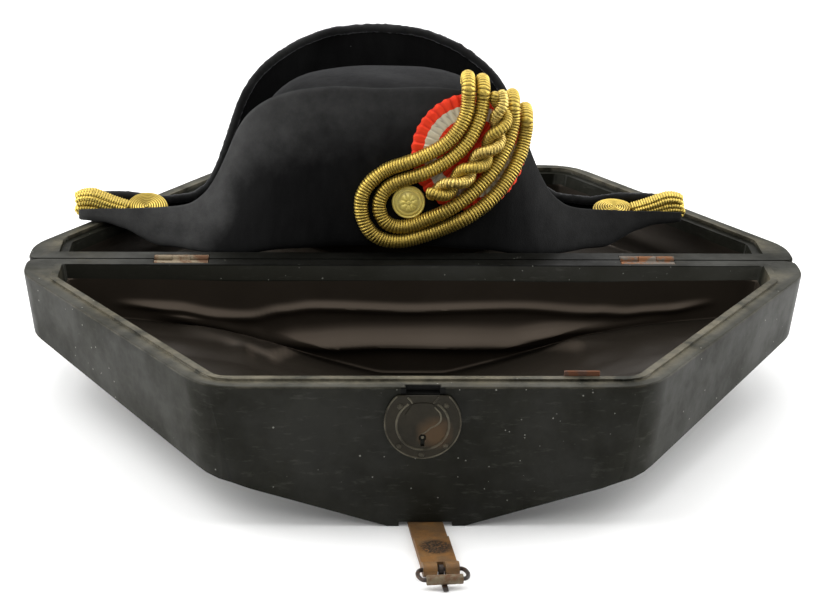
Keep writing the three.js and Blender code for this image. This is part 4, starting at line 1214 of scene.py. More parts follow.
def pale_marks(tree, where):
    """Mask of chips, of dust dots in drifts, and of the dried drops."""
    chips = specks(tree, where, 170.0, 0.1, 0.06)
    drifts = spread(tree, grain(tree, where, 9.0, 3.0), 0.5, 0.62)
    dots = times(tree, specks(tree, where, 420.0, 0.18, 0.06), drifts)
    spilt = spread(tree, distance_to(tree, where, SPILL), *SPILL_REACH, 0.16, 0.0)
    drops = specks(tree, where, 300.0, 0.17, spilt)
    return times(tree, largest(tree, chips, dots, drops), SPECK_STRONG)


# The soot in this list is painted shade: the hat's shadow on the hinge rims and the shade in the lock's
# notch.
print("marks: dust, scuffs, bare edges, soot and specks")

# %% Lacquer
def lacquer_finish():
    material, tree, shader = new_finish("lacquer", specular_ior_level=0.02, coat_roughness=0.38)
    where = place_on(tree)
    level = calc(tree, "GREATER_THAN", split(tree, where)["Z"], hinge_line.z - RIM_NEAR)
    bloom = mottle(tree, where, 14.0, 0.22, BLACK, BLOOM)
    patches = grain(tree, where, 22.0, 5.0, 0.65)
    dust_and_light = dust_and_painted_light(tree, where, facing(tree), level, patches)
    streaks = place_on(tree, STREAK_SCALE, STREAK_TURN)
    scuff = spread(tree, grain(tree, streaks, 7.0, 6.0, 0.7), 0.57, 0.72)
    ragged = spread(tree, grain(tree, where, 45.0, 6.0, 0.75), 0.36, 0.62)
    # Painted light, in patches: slanted sides that face the side lamps and rims that face up are mixed paler;
    # on the rims it is partly wear.
    colour = blend_colours(tree, dust_and_light, bloom["Colour"], DUST_AND_LIT)
    colour = blend_colours(tree, times(tree, scuff, SCUFF_STRONG), colour, SCUFF)
    colour = blend_colours(tree, times(tree, stored(tree, "worn"), ragged), colour, BARE)
    # Painted shade: the hat's shadow on the hinge rims and the shade in the lock's notch, near black.
    colour = blend_colours(tree, painted_shade_places(tree, where, level), colour, PAINTED_SHADE_BLACK)
    colour = blend_colours(tree, pale_marks(tree, where), colour, SPECK)
    gleam = spread(tree, patches, 0.38, 0.62, 0.06, 0.26)
    rough = blend_values(tree, scuff, spread(tree, bloom["Value"], 0, 1, 0.3, 0.48), 0.6)
    feed(tree, shader, base_color=colour, coat_weight=gleam, roughness=rough)
    relief(tree, shader, grain(tree, where, 240.0, 3.0), 0.25 * MM, 0.25)
    return material


lacquer = lacquer_finish()
print("case's finish:", lacquer.name)

# %% [markdown]
# ## The case's two halves
# The solids have the right boards, rims, tongue and seats, but their edges are sharp as no wood is.
# A copy of each solid is merged and its flat faces are dissolved into whole boards. The long edges on
# the outside get wide bevels, as hands have rounded them. The inner ones and those along the hinge get
# a narrow one. The middle of each bevel is marked as worn, and the tongue and the rims' inner edges more
# so, because there the halves rub on each other. Which edges lie outside follows from the case's plan.
# The solids' sides are upright. The real ones draw in a little below the rim, and the underside rises
# towards the ends and dips at the front corners, so the copies do too.

# %% The case's plan
CASE_WIDE, CASE_NARROW, CASE_DEEP, CASE_END = 272.0, 137.0, 250.0, 33.0
CASE_WALL, END_BLOCK = 15.0, 11.0
CASE_RIM = hinge_line.z / MM
HINGE_Y = hinge_line.y / MM
HINGE_WALLS = {"tray": 15.0, "lid": 12.0}
CASE_SIDES = {"tray": 1, "lid": -1}
CASE_SLOPE = (CASE_WIDE - CASE_NARROW) / (CASE_DEEP - CASE_END)
CASE_SLANT = math.hypot(1, CASE_SLOPE)


def plan_inset(co):
    """How far inside the case's outline a point lies, seen from above, in millimetres."""
    x = abs(co.x) / MM
    depth = abs(co.y / MM - HINGE_Y)
    slanted = (CASE_WIDE - (depth - CASE_END) * CASE_SLOPE - x) / CASE_SLANT
    return min(CASE_WIDE - x, slanted, CASE_DEEP - depth, depth - 1)


DRAFT, UNDER_RISE = 0.115, 0.0445
SIDE_FROM, SIDE_FULL, BREAK_X = 60.0, 120.0, 126.0
FULL_BELOW = 50.0
CORNER_DIP, DIP_FROM, DIP_FULL, DIP_LAST, DIP_TO = 3.4, 24.0, 114.0, 130.0, 165.0


def drawn_in(co):
    """Where a point of the upright solid lies once the slanted sides draw in below the rim."""
    x, z = abs(co.x) / MM, co.z / MM
    below = max(CASE_RIM - z, 0)
    side = min(max((x - SIDE_FROM) / (SIDE_FULL - SIDE_FROM), 0), 1)
    near_corner = min((x - DIP_FROM) / (DIP_FULL - DIP_FROM), (DIP_TO - x) / (DIP_TO - DIP_LAST), 1)
    rise = UNDER_RISE * max(x - BREAK_X, 0) - CORNER_DIP * max(near_corner, 0)
    lifted = z + rise * min(below / FULL_BELOW, 1)
    return Vector((math.copysign(x - DRAFT * below * side, co.x), co.y / MM, lifted)) * MM


print(f"the case's sides draw in by {CASE_SLOPE:.3f} of its depth and {DRAFT:.3f} of its height")

# %% Bevelled copies
RIM_EDGE, BOTTOM_EDGE, INNER_EDGE = 4.0, 2.5, 0.7
OUTER_WEAR, RUBBED_WEAR = 0.25, 0.85
OUTSIDE, HINGE_NEAR, HINGE_CLEAR = 6.0, 3.0, 20.0
LONG_OUTSIDE, LONG_INSIDE = 2, 9
BELOW_RIM = CASE_RIM - 1
TONGUE_WORN_OFF = 0.4


def merged_copy(node):
    mesh = bmesh.new()
    mesh.from_mesh(frame["nodes"][node].data)
    mesh.verts.layers.float.new("worn")
    bmesh.ops.remove_doubles(mesh, verts=mesh.verts, dist=2e-6)
    bmesh.ops.dissolve_limit(mesh, angle_limit=math.radians(0.5), verts=mesh.verts, edges=mesh.edges)
    return mesh


def sharp_edges(mesh, shortest, angle=25):
    found = []
    for edge in mesh.edges:
        if edge.is_manifold and edge.calc_length() > shortest * MM:
            if edge.calc_face_angle() > math.radians(angle):
                found.append(edge)
    return found


def bevel_edges(mesh, edges, radius, segments=2, wear=1.0):
    """Round the edges that are still there, and mark the middle of each bevel as worn."""
    made = bmesh.ops.bevel(
        mesh, geom=[edge for edge in edges if edge.is_valid], offset=radius * MM, affect="EDGES",
        segments=segments, profile=0.5, material=-1, clamp_overlap=True,
    )
    worn = mesh.verts.layers.float["worn"]
    rounded = set(made["faces"])
    for vert in made["verts"]:
        if all(face in rounded for face in vert.link_faces):
            vert[worn] = wear


def bevelled_copy(node, radius, shortest, angle=25):
    mesh = merged_copy(node)
    bevel_edges(mesh, sharp_edges(mesh, shortest, angle), radius)
    return mesh


print(f"bevels: rims {RIM_EDGE} mm, undersides {BOTTOM_EDGE} mm, inner edges {INNER_EDGE} mm")

# %% Boards of the case
def off_hinge(vert):
    return abs(vert.co.y / MM - HINGE_Y)


def rub_rim(mesh):
    """Mark the rims' inner parts as worn, and take the tongue down a little, as rubbing has."""
    worn = mesh.verts.layers.float["worn"]
    for vert in mesh.verts:
        if vert.co.z / MM > BELOW_RIM and plan_inset(vert.co) > OUTSIDE and off_hinge(vert) > HINGE_CLEAR:
            vert[worn] = RUBBED_WEAR
        vert.co.z -= max(vert.co.z / MM - CASE_RIM, 0) * TONGUE_WORN_OFF * MM


def case_boards(node):
    mesh = merged_copy(node)
    sharp = sharp_edges(mesh, LONG_OUTSIDE)
    outside = [edge for edge in sharp if max(plan_inset(vert.co) for vert in edge.verts) < OUTSIDE]
    hinged = [edge for edge in outside if max(off_hinge(vert) for vert in edge.verts) < HINGE_NEAR]
    handled = [edge for edge in outside if edge not in hinged]
    rim = [edge for edge in handled if min(vert.co.z for vert in edge.verts) > BELOW_RIM * MM]
    bottom = [edge for edge in handled if max(vert.co.z for vert in edge.verts) < BELOW_RIM * MM]
    long = sharp_edges(mesh, LONG_INSIDE)
    inside = [edge for edge in long if min(plan_inset(vert.co) for vert in edge.verts) > OUTSIDE]
    rub_rim(mesh)
    for vert in mesh.verts:
        vert.co = drawn_in(vert.co)
    bevel_edges(mesh, rim, RIM_EDGE, 4, OUTER_WEAR)
    bevel_edges(mesh, bottom, BOTTOM_EDGE, 3, OUTER_WEAR)
    bevel_edges(mesh, hinged + inside, INNER_EDGE, 2, RUBBED_WEAR)
    return mesh


for half in CASE_SIDES:
    shell = f"{half}_shell"
    boards = finish_piece(f"{half}_boards", case_boards(shell), lacquer, half, [shell])
    flat_boards = boards.modifiers.new("flat_boards", "WEIGHTED_NORMAL")
    flat_boards.keep_sharp = True

# %% [markdown]
# ## Cloth linings
# Each half is lined with dark satin that has come loose and sags in long level folds. A cloth
# simulation would find folds of its own, but here they should lie where the picture has them. So one
# grid is cut to a cross by taking out its corner blocks, its four arms are turned up as walls, and the
# seams are merged. Each fold is a line of places on the wall: the cloth bulges out slowly above the
# line and is tucked back sharply below it. Where the floor rises past a line, the fold runs on over the
# floor, so that it stays one line from the front. Smoothing then rounds the crease between wall and
# floor. Faces that look up, the folds' crests among them, are painted paler as lit, the cloth on the
# floor is darker, and the tray's cloth is painted darker as the hat's shade.

# %% Satin
SATIN_DARK, SATIN_LIGHT = (0.016, 0.0127, 0.0094), (0.034, 0.027, 0.0205)
SATIN_PAINTED_LIT, SATIN_DARKER = (0.092, 0.0735, 0.057), (0.0075, 0.0062, 0.0045)
SATIN_GLOW = (1, 0.82, 0.66, 1)
TRAY_PAINTED_SHADE = 0.75
ACROSS_WEAVE = (1, 12, 12)


def satin_finish():
    material, tree, shader = new_finish(
        "satin", roughness=0.46, specular_ior_level=0.23, specular_tint=SATIN_GLOW
    )
    where = place_on(tree)
    cloud = mottle(tree, where, 9.0, 0.3, SATIN_DARK, SATIN_LIGHT)
    upward = facing(tree)["Z"]
    # Painted light: faces that look up, the folds' crests most, get a paler colour.
    painted_top_light = spread(tree, upward, 0.08, 0.5, 0.0, 0.65)
    colour = blend_colours(tree, painted_top_light, cloud["Colour"], SATIN_PAINTED_LIT)
    # Painted shade: the tray's cloth, under the hat, is darker; the cloth on the floor, facing up, is darker
    # too.
    in_tray = calc(tree, "GREATER_THAN", split(tree, where)["Y"], hinge_line.y)
    on_floor = spread(tree, upward, 0.75, 0.94, 0.0, 0.95)
    darker_places = largest(tree, on_floor, times(tree, in_tray, TRAY_PAINTED_SHADE))
    feed(tree, shader, base_color=blend_colours(tree, darker_places, colour, SATIN_DARKER))
    relief(tree, shader, grain(tree, place_on(tree, ACROSS_WEAVE), 600.0, 2.0), 0.15 * MM, 0.3)
    return material


satin = satin_finish()
print("lining's finish:", satin.name)

# %% Folds in the cloth
Fold = namedtuple("Fold", "reach above below line")
FOLDS = {
    "lid": [
        Fold(3.2, 3.4, 3.0, [(-215, 61), (-172, 59), (-144, 56), (-119, 56), (-94, 60), (-73, 62), (-2, 59),
                             (79, 62), (132, 60), (157, 57), (182, 58), (218, 63)]),
        Fold(10, 9, 3.5, [(-190, 50), (-144, 42), (-119, 34), (-105, 29), (-84, 33), (-38, 34), (19, 34),
                          (69, 35), (104, 37), (150, 37)]),
        Fold(4, 5, 3, [(70, 42), (118, 47), (150, 44), (190, 48)]),
    ],
    "tray": [
        Fold(5, 9, 5, [(-200, 60), (-120, 56), (0, 60), (120, 57), (200, 61)]),
        Fold(6, 9, 5, [(-150, 40), (-60, 34), (40, 36), (140, 41)]),
    ],
}
FOLD_FADE = 26.0
FOLD_UNEVEN, FOLD_VARY, FOLD_SEED = 0.3, 0.02, 4


def sag(half, x, z):
    """How far the folds push the cloth in from a wall, at a place along it and a height."""
    push = 0.0
    for fold in FOLDS[half]:
        from_end = min(x - fold.line[0][0], fold.line[-1][0] - x)
        fade = min(max(from_end / FOLD_FADE, 0), 1)
        off = z - along_line(fold.line, x)
        ridge = math.exp(-((off / (fold.above if off > 0 else fold.below)) ** 2))
        uneven = 1 + FOLD_UNEVEN * noise.noise(Vector((x * FOLD_VARY, fold.reach, FOLD_SEED)))
        push += fold.reach * uneven * fade * ridge
    return push


print({half: len(folds) for half, folds in FOLDS.items()}, "folds")

# %% Slack cloth
LINING_INSET = 17.0
LINING_TOP, LINING_FLOOR = CASE_RIM - 11, 11.6
UNDERSIDE = ((0, 0), (24, 0), (126, 32), (290, 43))
HELD_WALL, HELD_END, HELD_SIDE, HELD_CREASE = 5, 8, 6, 20
END_SHARE = 0.4
RIPPLE_HIGH, RIPPLE_LONG, RIPPLE_SHORT, RIPPLE_SEED = 4, 0.008, 0.035, 5
RUMPLE_HIGH, RUMPLE_SCALE = 1.5, 0.03
FLOOR_SHARE, LOOKING_DOWN = 0.45, 0.344


def lining_spot(half, across, along, up):
    """A point of the tub, from its share across and along the floor and its share up a wall."""
    near = 1 + HINGE_WALLS[half] + LINING_INSET - CASE_WALL
    far = CASE_DEEP - LINING_INSET
    depth = near + (far - near) * along
    slanted = CASE_WIDE - (depth - CASE_END) * CASE_SLOPE - LINING_INSET * CASE_SLANT
    x = across * min(slanted, CASE_WIDE - LINING_INSET - END_BLOCK)
    floor_z = along_line(UNDERSIDE, abs(x), smooth=False) + LINING_FLOOR
    return Vector((x, HINGE_Y + CASE_SIDES[half] * depth, floor_z + (LINING_TOP - floor_z) * up))


def fold_in(half, spot, across, along, over_x, over_y):
    """Move a point of the plain tub to where the slack cloth lies."""
    up = max(over_x, over_y)
    held = min(1.0, HELD_WALL * (1 - up), HELD_WALL * up)
    from_side = 1 - abs(across)
    if over_y:
        inward = CASE_SIDES[half] * (1 if along < 0.5 else -1)
        spot.y += inward * held * min(1.0, HELD_END * from_side) * sag(half, spot.x, spot.z)
    elif over_x:
        ends = min(1.0, HELD_SIDE * along, HELD_SIDE * (1 - along))
        spot.x -= math.copysign(held * ends * END_SHARE * sag(half, 0, spot.z), spot.x)
    else:
        calm = min(1.0, HELD_WALL * from_side, HELD_WALL * along, HELD_WALL * (1 - along))
        ripple = abs(noise.noise(Vector((spot.x * RIPPLE_LONG, spot.y * RIPPLE_SHORT, RIPPLE_SEED))))
        rumple = abs(noise.noise(Vector((spot.x, spot.y, 0)) * RUMPLE_SCALE))
        spot.z += calm * (RIPPLE_HIGH * ripple + RUMPLE_HIGH * rumple)
        seen_at = spot.z - LOOKING_DOWN * along * (CASE_DEEP - 2 * LINING_INSET)
        loose = min(1.0, HELD_WALL * from_side, HELD_CREASE * along)
        spot.z += loose * FLOOR_SHARE * sag(half, spot.x, seen_at)


print(f"lining runs from {LINING_FLOOR} mm above the underside to {LINING_TOP:.1f} mm above the floor")

# %% Cells of the cloth
FLOOR_X, FLOOR_Y, WALL_UP = 130, 80, 56
COLUMNS, ROWS = FLOOR_X + 2 * WALL_UP, FLOOR_Y + 2 * WALL_UP
CREASE_CELLS, CREASE_PASSES = 3, 4


def cut_corners(mesh, cells):
    corners = []
    for face in mesh.faces:
        i = sum(vert[cells].x for vert in face.verts) / len(face.verts)
        j = sum(vert[cells].y for vert in face.verts) / len(face.verts)
        if not WALL_UP < i < COLUMNS - WALL_UP and not WALL_UP < j < ROWS - WALL_UP:
            corners.append(face)
    bmesh.ops.delete(mesh, geom=corners, context="FACES")


def round_crease(mesh, cells):
    """Smooth the cloth where floor and walls meet, so that it spans the corner in a soft curve."""
    soft = []
    for vert in mesh.verts:
        i, j, _ = vert[cells]
        from_x = min(abs(i - WALL_UP), abs(i - (COLUMNS - WALL_UP)))
        from_y = min(abs(j - WALL_UP), abs(j - (ROWS - WALL_UP)))
        if min(from_x, from_y) <= CREASE_CELLS and not vert.is_boundary:
            soft.append(vert)
    for _ in range(CREASE_PASSES):
        bmesh.ops.smooth_vert(mesh, verts=soft, factor=0.5, use_axis_x=True, use_axis_y=True, use_axis_z=True)


print(COLUMNS, "by", ROWS, "cells of cloth before the corners are cut out")

# %% Line the case
def line_half(half):
    mesh = bmesh.new()
    cells = mesh.verts.layers.float_vector.new("cells")
    bmesh.ops.create_grid(mesh, x_segments=COLUMNS, y_segments=ROWS, size=1.0)
    for vert in mesh.verts:
        vert[cells] = (round((vert.co.x + 1) / 2 * COLUMNS), round((vert.co.y + 1) / 2 * ROWS), 0)
    cut_corners(mesh, cells)
    for vert in mesh.verts:
        i, j, _ = vert[cells]
        over_x = max(WALL_UP - i, i - (COLUMNS - WALL_UP), 0) / WALL_UP
        over_y = max(WALL_UP - j, j - (ROWS - WALL_UP), 0) / WALL_UP
        across = min(max((i - WALL_UP) / FLOOR_X, 0), 1) * 2 - 1
        along = min(max((j - WALL_UP) / FLOOR_Y, 0), 1)
        spot = lining_spot(half, across, along, max(over_x, over_y))
        fold_in(half, spot, across, along, over_x, over_y)
        vert.co = drawn_in(spot * MM)
    bmesh.ops.remove_doubles(mesh, verts=mesh.verts, dist=1e-5)
    round_crease(mesh, cells)
    bmesh.ops.recalc_face_normals(mesh, faces=mesh.faces)
    lowest = min(mesh.faces, key=lambda face: face.calc_center_median().z)
    look_towards(mesh, UPWARDS, [lowest])
    return mesh


for half in CASE_SIDES:
    cloth_mesh = line_half(half)
    cloth_area = sum(face.calc_area() for face in cloth_mesh.faces)
    cloth = finish_piece(f"{half}_satin", cloth_mesh, satin, half, [f"{half}_lining"])

# %% [markdown]
# ## Rusty iron
# The hinges, the catch and the buckle are cheap iron under old paint. One recipe serves them all: a
# mottled skin, and rust that eats into it where the coarse noise is high. Only the colours differ, and
# how far the rust has gone. The left hinge still has cream paint, and the right one is blotched.

# %% Rusty iron
RUST_FROM, RUST_FULL, RUST_SPREADS = 0.62, 0.7, 0.3


def rust_finish(name, skin_low, skin_high, rust, eaten):
    material, tree, shader = new_finish(name, metallic=0.15, specular_ior_level=0.3)
    where = place_on(tree)
    skin = mottle(tree, where, 130.0, 0.25, skin_low, skin_high)
    gone = eaten * RUST_SPREADS
    blotch = spread(tree, grain(tree, where, 85.0, 5.0, 0.65), RUST_FROM - gone, RUST_FULL - gone)
    colour = blend_colours(tree, blotch, skin["Colour"], rust)
    feed(tree, shader, base_color=colour, roughness=spread(tree, blotch, 0, 1, 0.5, 0.85))
    relief(tree, shader, grain(tree, where, 900.0, 4.0, 0.7), 0.3 * MM, 0.6)
    return material


cream_iron = rust_finish("cream_iron", (0.11, 0.08, 0.048), (0.24, 0.19, 0.12), (0.12, 0.06, 0.03), 0.35)
blotched_iron = rust_finish("blotched_iron", (0.06, 0.05, 0.04), (0.17, 0.14, 0.11), (0.2, 0.085, 0.035), 0.5)
red_rust = rust_finish("red_rust", (0.06, 0.032, 0.022), (0.12, 0.062, 0.042), (0.15, 0.06, 0.03), 0.5)
dark_iron = rust_finish("dark_iron", (0.018, 0.014, 0.012), (0.055, 0.042, 0.036), (0.09, 0.045, 0.025), 0.35)
tan_iron = rust_finish("tan_iron", (0.09, 0.065, 0.038), (0.18, 0.14, 0.085), (0.12, 0.06, 0.03), 0.3)

HINGE_IRON = {"left": cream_iron, "right": blotched_iron}
for half in CASE_SIDES:
    for label, iron in HINGE_IRON.items():
        node = f"hinge_{half}_{label}"
        leaf_mesh = bevelled_copy(node, radius=0.35, shortest=1.5, angle=40)
        finish_piece(f"rusty_{node}", leaf_mesh, iron, half, [node])
catch_mesh = bevelled_copy("catch_plate", radius=0.4, shortest=1.5)
finish_piece("rusty_catch", catch_mesh, red_rust, "lid", ["catch_plate"])

# %% [markdown]
# ## The lock
# The lock plate is a dark disc with a flat top, almost as black as the lacquer, and it shows mainly by
# its rubbed edges. The plate is two loops of points, the outline and the keyhole, bridged into a flat
# ring and given thickness, so that the keyhole is a real hole. The raised lines are thin tubes, the
# rivets flattened balls, and the swinging keyhole cover is a flat piece cut to a curved line.

# %% Bronze
LOCK_RADIUS = (plate_high.x - plate_low.x) / 2 / MM
LOCK = Vector(((plate_low.x + plate_high.x) / 2, plate_high.y, plate_low.z + LOCK_RADIUS * MM))
COPPER_SPOT = LOCK + Vector((7.5, -1.6, -6.5)) * MM
COPPER_FULL, COPPER_FAR, COPPER_RAGGED = 7.35 * MM, 14.7 * MM, 5 * MM
BRONZE_DARK, BRONZE_LIGHT = (0.0112, 0.0096, 0.006), (0.0265, 0.0224, 0.014)
COPPER, RUBBED_BRONZE = (0.085, 0.05, 0.024), (0.13, 0.118, 0.085)


def bronze_finish():
    material, tree, shader = new_finish("bronze", metallic=0.3, specular_ior_level=0.2, roughness=0.48)
    where = place_on(tree)
    skin = mottle(tree, where, 60.0, 0.25, BRONZE_DARK, BRONZE_LIGHT)
    ragged = times(tree, grain(tree, where, 160.0), COPPER_RAGGED)
    copper_off = calc(tree, "ADD", distance_to(tree, where, COPPER_SPOT), ragged)
    copper = spread(tree, copper_off, COPPER_FULL, COPPER_FAR, 0.75, 0.0)
    colour = blend_colours(tree, copper, skin["Colour"], COPPER)
    patchy = spread(tree, grain(tree, where, 120.0), 0.35, 0.65, 0.15, 0.9)
    colour = blend_colours(tree, times(tree, stored(tree, "groove"), patchy), colour, RUBBED_BRONZE)
    feed(tree, shader, base_color=colour)
    relief(tree, shader, grain(tree, where, 500.0), 0.3 * MM, 0.4)
    return material


bronze = bronze_finish()
print("lock's middle at", tuple(round(v, 4) for v in LOCK))

# %% Parts of the lock
FLAT_TOP = (plate_high.z - LOCK.z) / MM
KEY_DROP, KEY_RADIUS, KEY_SLOT, KEY_LONG = 9.8, 2.3, 1.25, 5.6
LOOP_POINTS = 96
LINE_SPACING, LINE_SIDES = 0.5, 8
ARC_STEPS = 40


def plate_reach(around):
    rise = math.sin(around)
    return min(LOCK_RADIUS, FLAT_TOP / rise) if rise > 0 else LOCK_RADIUS


def key_reach(around):
    fall, aside = -math.sin(around), abs(math.cos(around))
    if fall <= 0:
        return KEY_RADIUS
    return max(KEY_RADIUS, min(KEY_SLOT / max(aside, 1e-6), KEY_LONG / fall))


def loop_round(mesh, middle_z, reach):
    """A loop of points round a middle, each as far out as its direction asks for."""
    verts = bmesh.ops.create_circle(mesh, cap_ends=False, segments=LOOP_POINTS, radius=1.0)["verts"]
    for vert in verts:
        around = math.atan2(vert.co.y, vert.co.x)
        far = reach(around)
        vert.co = (far * math.cos(around), 0, middle_z + far * math.sin(around))
    return list({edge for vert in verts for edge in vert.link_edges})


def pull_out(mesh, faces, far):
    """Give flat faces a thickness towards the viewer."""
    made = bmesh.ops.extrude_face_region(mesh, geom=faces)["geom"]
    verts = [item for item in made if isinstance(item, bmesh.types.BMVert)]
    bmesh.ops.translate(mesh, verts=verts, vec=(0, -far, 0))


def raised_line(mesh, points, radius, out):
    knots = [Vector((x, -out, z)) for x, z in points]

    def plain(distance, turn, length):
        return radius * round_end(distance, length, radius), 1.0

    roll_tube(mesh, knots, LINE_SPACING, LINE_SIDES, plain, lambda x, y, z: Vector((x, y, z)))


def arc(radius, middle_z, start, end):
    angles = [math.radians(start + (end - start) * k / ARC_STEPS) for k in range(ARC_STEPS + 1)]
    return [(radius * math.cos(a), middle_z + radius * math.sin(a)) for a in angles]


def rub(verts, mesh, share):
    for vert in verts:
        vert[mesh.verts.layers.float["groove"]] = share


print(f"lock plate {2 * LOCK_RADIUS:.1f} mm wide, flat top {FLAT_TOP:.1f} mm above its middle")

# %% Build the lock
PLATE_THICK, COVER_THICK = 1.6, 0.7
COVER_SPACING = 0.6
EDGE_LINE, RING_LINE, COVER_LINE, NECK_LINE = 0.5, 0.75, 0.55, 0.6
RING_DROP, RING_RADIUS, RING_START, RING_END = 1.4, 16.1, 122, 418
RIVET_RADIUS, RIVET_FLAT, RIVET_RUB = 1.8, 0.7, 0.45
PIN_RADIUS, PIN_LONG = 0.95, 1.2
RIVETS = [(-14.1, 10.6), (14.2, 11.2), (14.2, -15.1), (-14.2, -15.1), (-0.4, -20.9)]
COVER = [
    (8.2, 9), (10.4, 6.5), (11, 2.2), (8.6, -1), (5, -2.9), (2.7, -5), (0.6, -6.6), (-1.4, -6.4),
    (-4, -4.6), (-7.6, -2), (-10.2, 2), (-10.4, 6), (-8.2, 9), (-6.6, 12), (0, 13), (6.6, 12),
]
COVER_EDGE = [(6.8, 10.6), (8.4, 9), *COVER[1:7], (-1, -6.9)]
NECK = [(6.4, 12.2), (6.9, 13.6), (8.2, 15.2), (9.6, 16.8)]

lock_mesh = new_cord_mesh()
outline = loop_round(lock_mesh, 0, plate_reach)
keyhole = loop_round(lock_mesh, -KEY_DROP, key_reach)
bmesh.ops.bridge_loops(lock_mesh, edges=outline + keyhole)
pull_out(lock_mesh, lock_mesh.faces[:], PLATE_THICK)
cover_route, _ = smooth_route([Vector((x, 0, z)) for x, z in [*COVER, COVER[0]]], COVER_SPACING)
cover_points = len(cover_route) - 1
cover_verts = bmesh.ops.create_circle(lock_mesh, cap_ends=True, segments=cover_points, radius=1.0)["verts"]
for vert, spot in zip(cover_verts, cover_route):
    vert.co = spot + Vector((0, -PLATE_THICK, 0))
pull_out(lock_mesh, list({face for vert in cover_verts for face in vert.link_faces}), COVER_THICK)
top_angle = math.degrees(math.asin(FLAT_TOP / LOCK_RADIUS))
edge_arc = arc(LOCK_RADIUS - EDGE_LINE, 0, 180 - top_angle, 360 + top_angle)
raised_line(lock_mesh, edge_arc, EDGE_LINE, PLATE_THICK)
raised_line(lock_mesh, arc(RING_RADIUS, -RING_DROP, RING_START, RING_END), RING_LINE, PLATE_THICK)
raised_line(lock_mesh, COVER_EDGE, COVER_LINE, PLATE_THICK + 0.6)
for hand in SIDES.values():
    raised_line(lock_mesh, [(hand * x, z) for x, z in NECK], NECK_LINE, PLATE_THICK)
for x, z in RIVETS:
    head = Matrix.Translation((x, -PLATE_THICK, z)) @ Matrix.Diagonal((1, RIVET_FLAT, 1, 1))
    rivet = bmesh.ops.create_uvsphere(
        lock_mesh, u_segments=20, v_segments=12, radius=RIVET_RADIUS, matrix=head
    )
    rub(rivet["verts"], lock_mesh, RIVET_RUB)
pin_place = Matrix.Translation((0, -PIN_LONG / 2, -KEY_DROP)) @ Matrix.Rotation(math.pi / 2, 4, "X")
pin = bmesh.ops.create_cone(
    lock_mesh, cap_ends=True, segments=20, radius1=PIN_RADIUS, radius2=PIN_RADIUS, depth=PIN_LONG,
    matrix=pin_place,
)
rub(pin["verts"], lock_mesh, 1.0)
for vert in lock_mesh.verts:
    vert.co = LOCK + vert.co * MM
finish_piece("bronze_lock", close_cord(lock_mesh), bronze, "lid", ["lock_plate"])

# %% [markdown]
# ## The strap
# A short leather strap comes out under the lid and is folded round the buckle's bar. The solid has the
# fold and the slot, so a bevelled copy is enough, and the finish does the rest: tan leather with orange
# stains, redder at its rubbed edges, and one dark crackled patch.

# %% Leather
PATCH_MIDDLE = Vector((4.4, -416, 4.8)) * MM
PATCH_FULL, PATCH_FAR = 7.65 * MM, 11.73 * MM
EDGE_REDDER = 0.9
HIDE_DARK, HIDE_LIGHT = (0.085, 0.041, 0.017), (0.19, 0.112, 0.046)
STAIN, PATCH, RED_EDGE = (0.24, 0.105, 0.022), (0.012, 0.009, 0.007), (0.24, 0.055, 0.018)


def leather_finish():
    material, tree, shader = new_finish("leather", specular_ior_level=0.3, roughness=0.6)
    where = place_on(tree)
    hide = mottle(tree, where, 60.0, 0.28, HIDE_DARK, HIDE_LIGHT)
    stain = spread(tree, grain(tree, where, 95.0, 5.0, 0.65), 0.46, 0.62, 0.0, 0.6)
    colour = blend_colours(tree, stain, hide["Colour"], STAIN)
    patch = spread(tree, distance_to(tree, where, PATCH_MIDDLE), PATCH_FULL, PATCH_FAR, 1.0, 0.0)
    crackle = spread(tree, grain(tree, where, 800.0, 3.0, 0.7), 0.5, 0.58, 1.0, 0.1)
    colour = blend_colours(tree, times(tree, patch, crackle), colour, PATCH)
    colour = blend_colours(tree, times(tree, stored(tree, "worn"), EDGE_REDDER), colour, RED_EDGE)
    feed(tree, shader, base_color=colour)
    pores = blend_values(tree, 0.5, grain(tree, where, 900.0, 3.0), crackle)
    relief(tree, shader, pores, 0.35 * MM, 0.6)
    return material


leather = leather_finish()
strap_mesh = bevelled_copy("strap", radius=0.45, shortest=1.2)
finish_piece("leather_strap", strap_mesh, leather, "lid", ["strap"])

# %% [markdown]
# ## The buckle
# The buckle is bent from round wire: a straight bar in the strap's fold, sides that bulge, and a far
# bar with a loose roller on it. One tube follows the whole bend. The roller is a plain cylinder with
# its ends eased, and the prong is a bevelled copy of its solid.

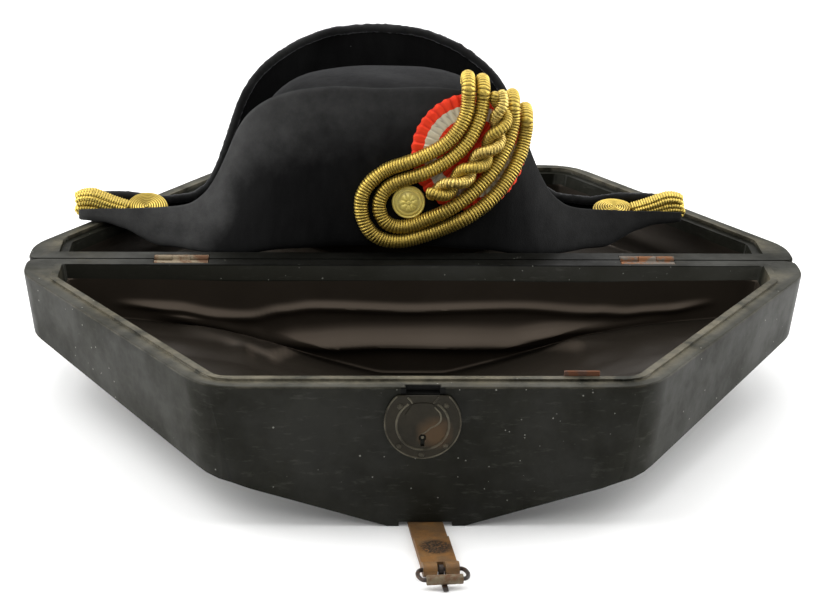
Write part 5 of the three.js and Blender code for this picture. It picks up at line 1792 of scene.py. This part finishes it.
# %% The buckle
STRAP_TURN = math.radians(5.2)
BUCKLE_LONG, BAR_RISE = 16.5, 1.3
WIRE_RADIUS, WIRE_SPACING, WIRE_SIDES = 1.25, 0.5, 14
HALF_WIRE = [
    (0, 0), (6, 0), (11.2, -0.1), (13.2, -1.2), (14.4, -4.4), (14.8, -8.3), (14.3, -12.2), (13.1, -15.3),
    (11.2, -16.4), (6, -16.5), (0, -16.5),
]

roller_low, roller_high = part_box("buckle_roller")
roller_middle = (roller_low + roller_high) / 2
tip = math.asin(BAR_RISE / BUCKLE_LONG)
lie = Matrix.Translation(roller_middle) @ Matrix.Rotation(STRAP_TURN, 4, "Z") @ Matrix.Rotation(-tip, 4, "X")


def buckle_spot(x, y, z):
    return lie @ (Vector((x, y + BUCKLE_LONG, z)) * MM)


def even_wire(distance, turn, length):
    return WIRE_RADIUS, 0.0


frame_mesh = new_cord_mesh()
bend = [*HALF_WIRE, *((-x, y) for x, y in HALF_WIRE[-2::-1])]
wire_knots = [Vector((x, y, 0)) for x, y in bend]
roll_tube(frame_mesh, wire_knots, WIRE_SPACING, WIRE_SIDES, even_wire, buckle_spot)
finish_piece("wire_buckle", close_cord(frame_mesh), dark_iron, "lid", ["buckle_frame"])

# %% Roller and prong
ROLLER_RADIUS, ROLLER_LONG, ROLLER_EASE = 3.0, 21.6, 0.5

roller_mesh = bmesh.new()
bmesh.ops.create_cone(
    roller_mesh, cap_ends=True, segments=36, radius1=ROLLER_RADIUS * MM, radius2=ROLLER_RADIUS * MM,
    depth=ROLLER_LONG * MM, matrix=lie @ Matrix.Rotation(math.pi / 2, 4, "Y"),
)
roller_mesh.verts.layers.float.new("worn")
bevel_edges(roller_mesh, sharp_edges(roller_mesh, shortest=0.1, angle=60), ROLLER_EASE)
finish_piece("buckle_tube", roller_mesh, tan_iron, "lid", ["buckle_roller"])
prong_mesh = bevelled_copy("buckle_prong", radius=0.35, shortest=1.0, angle=40)
finish_piece("iron_prong", prong_mesh, dark_iron, "lid", ["buckle_prong"])

# %% Finish the script
print("script finished")
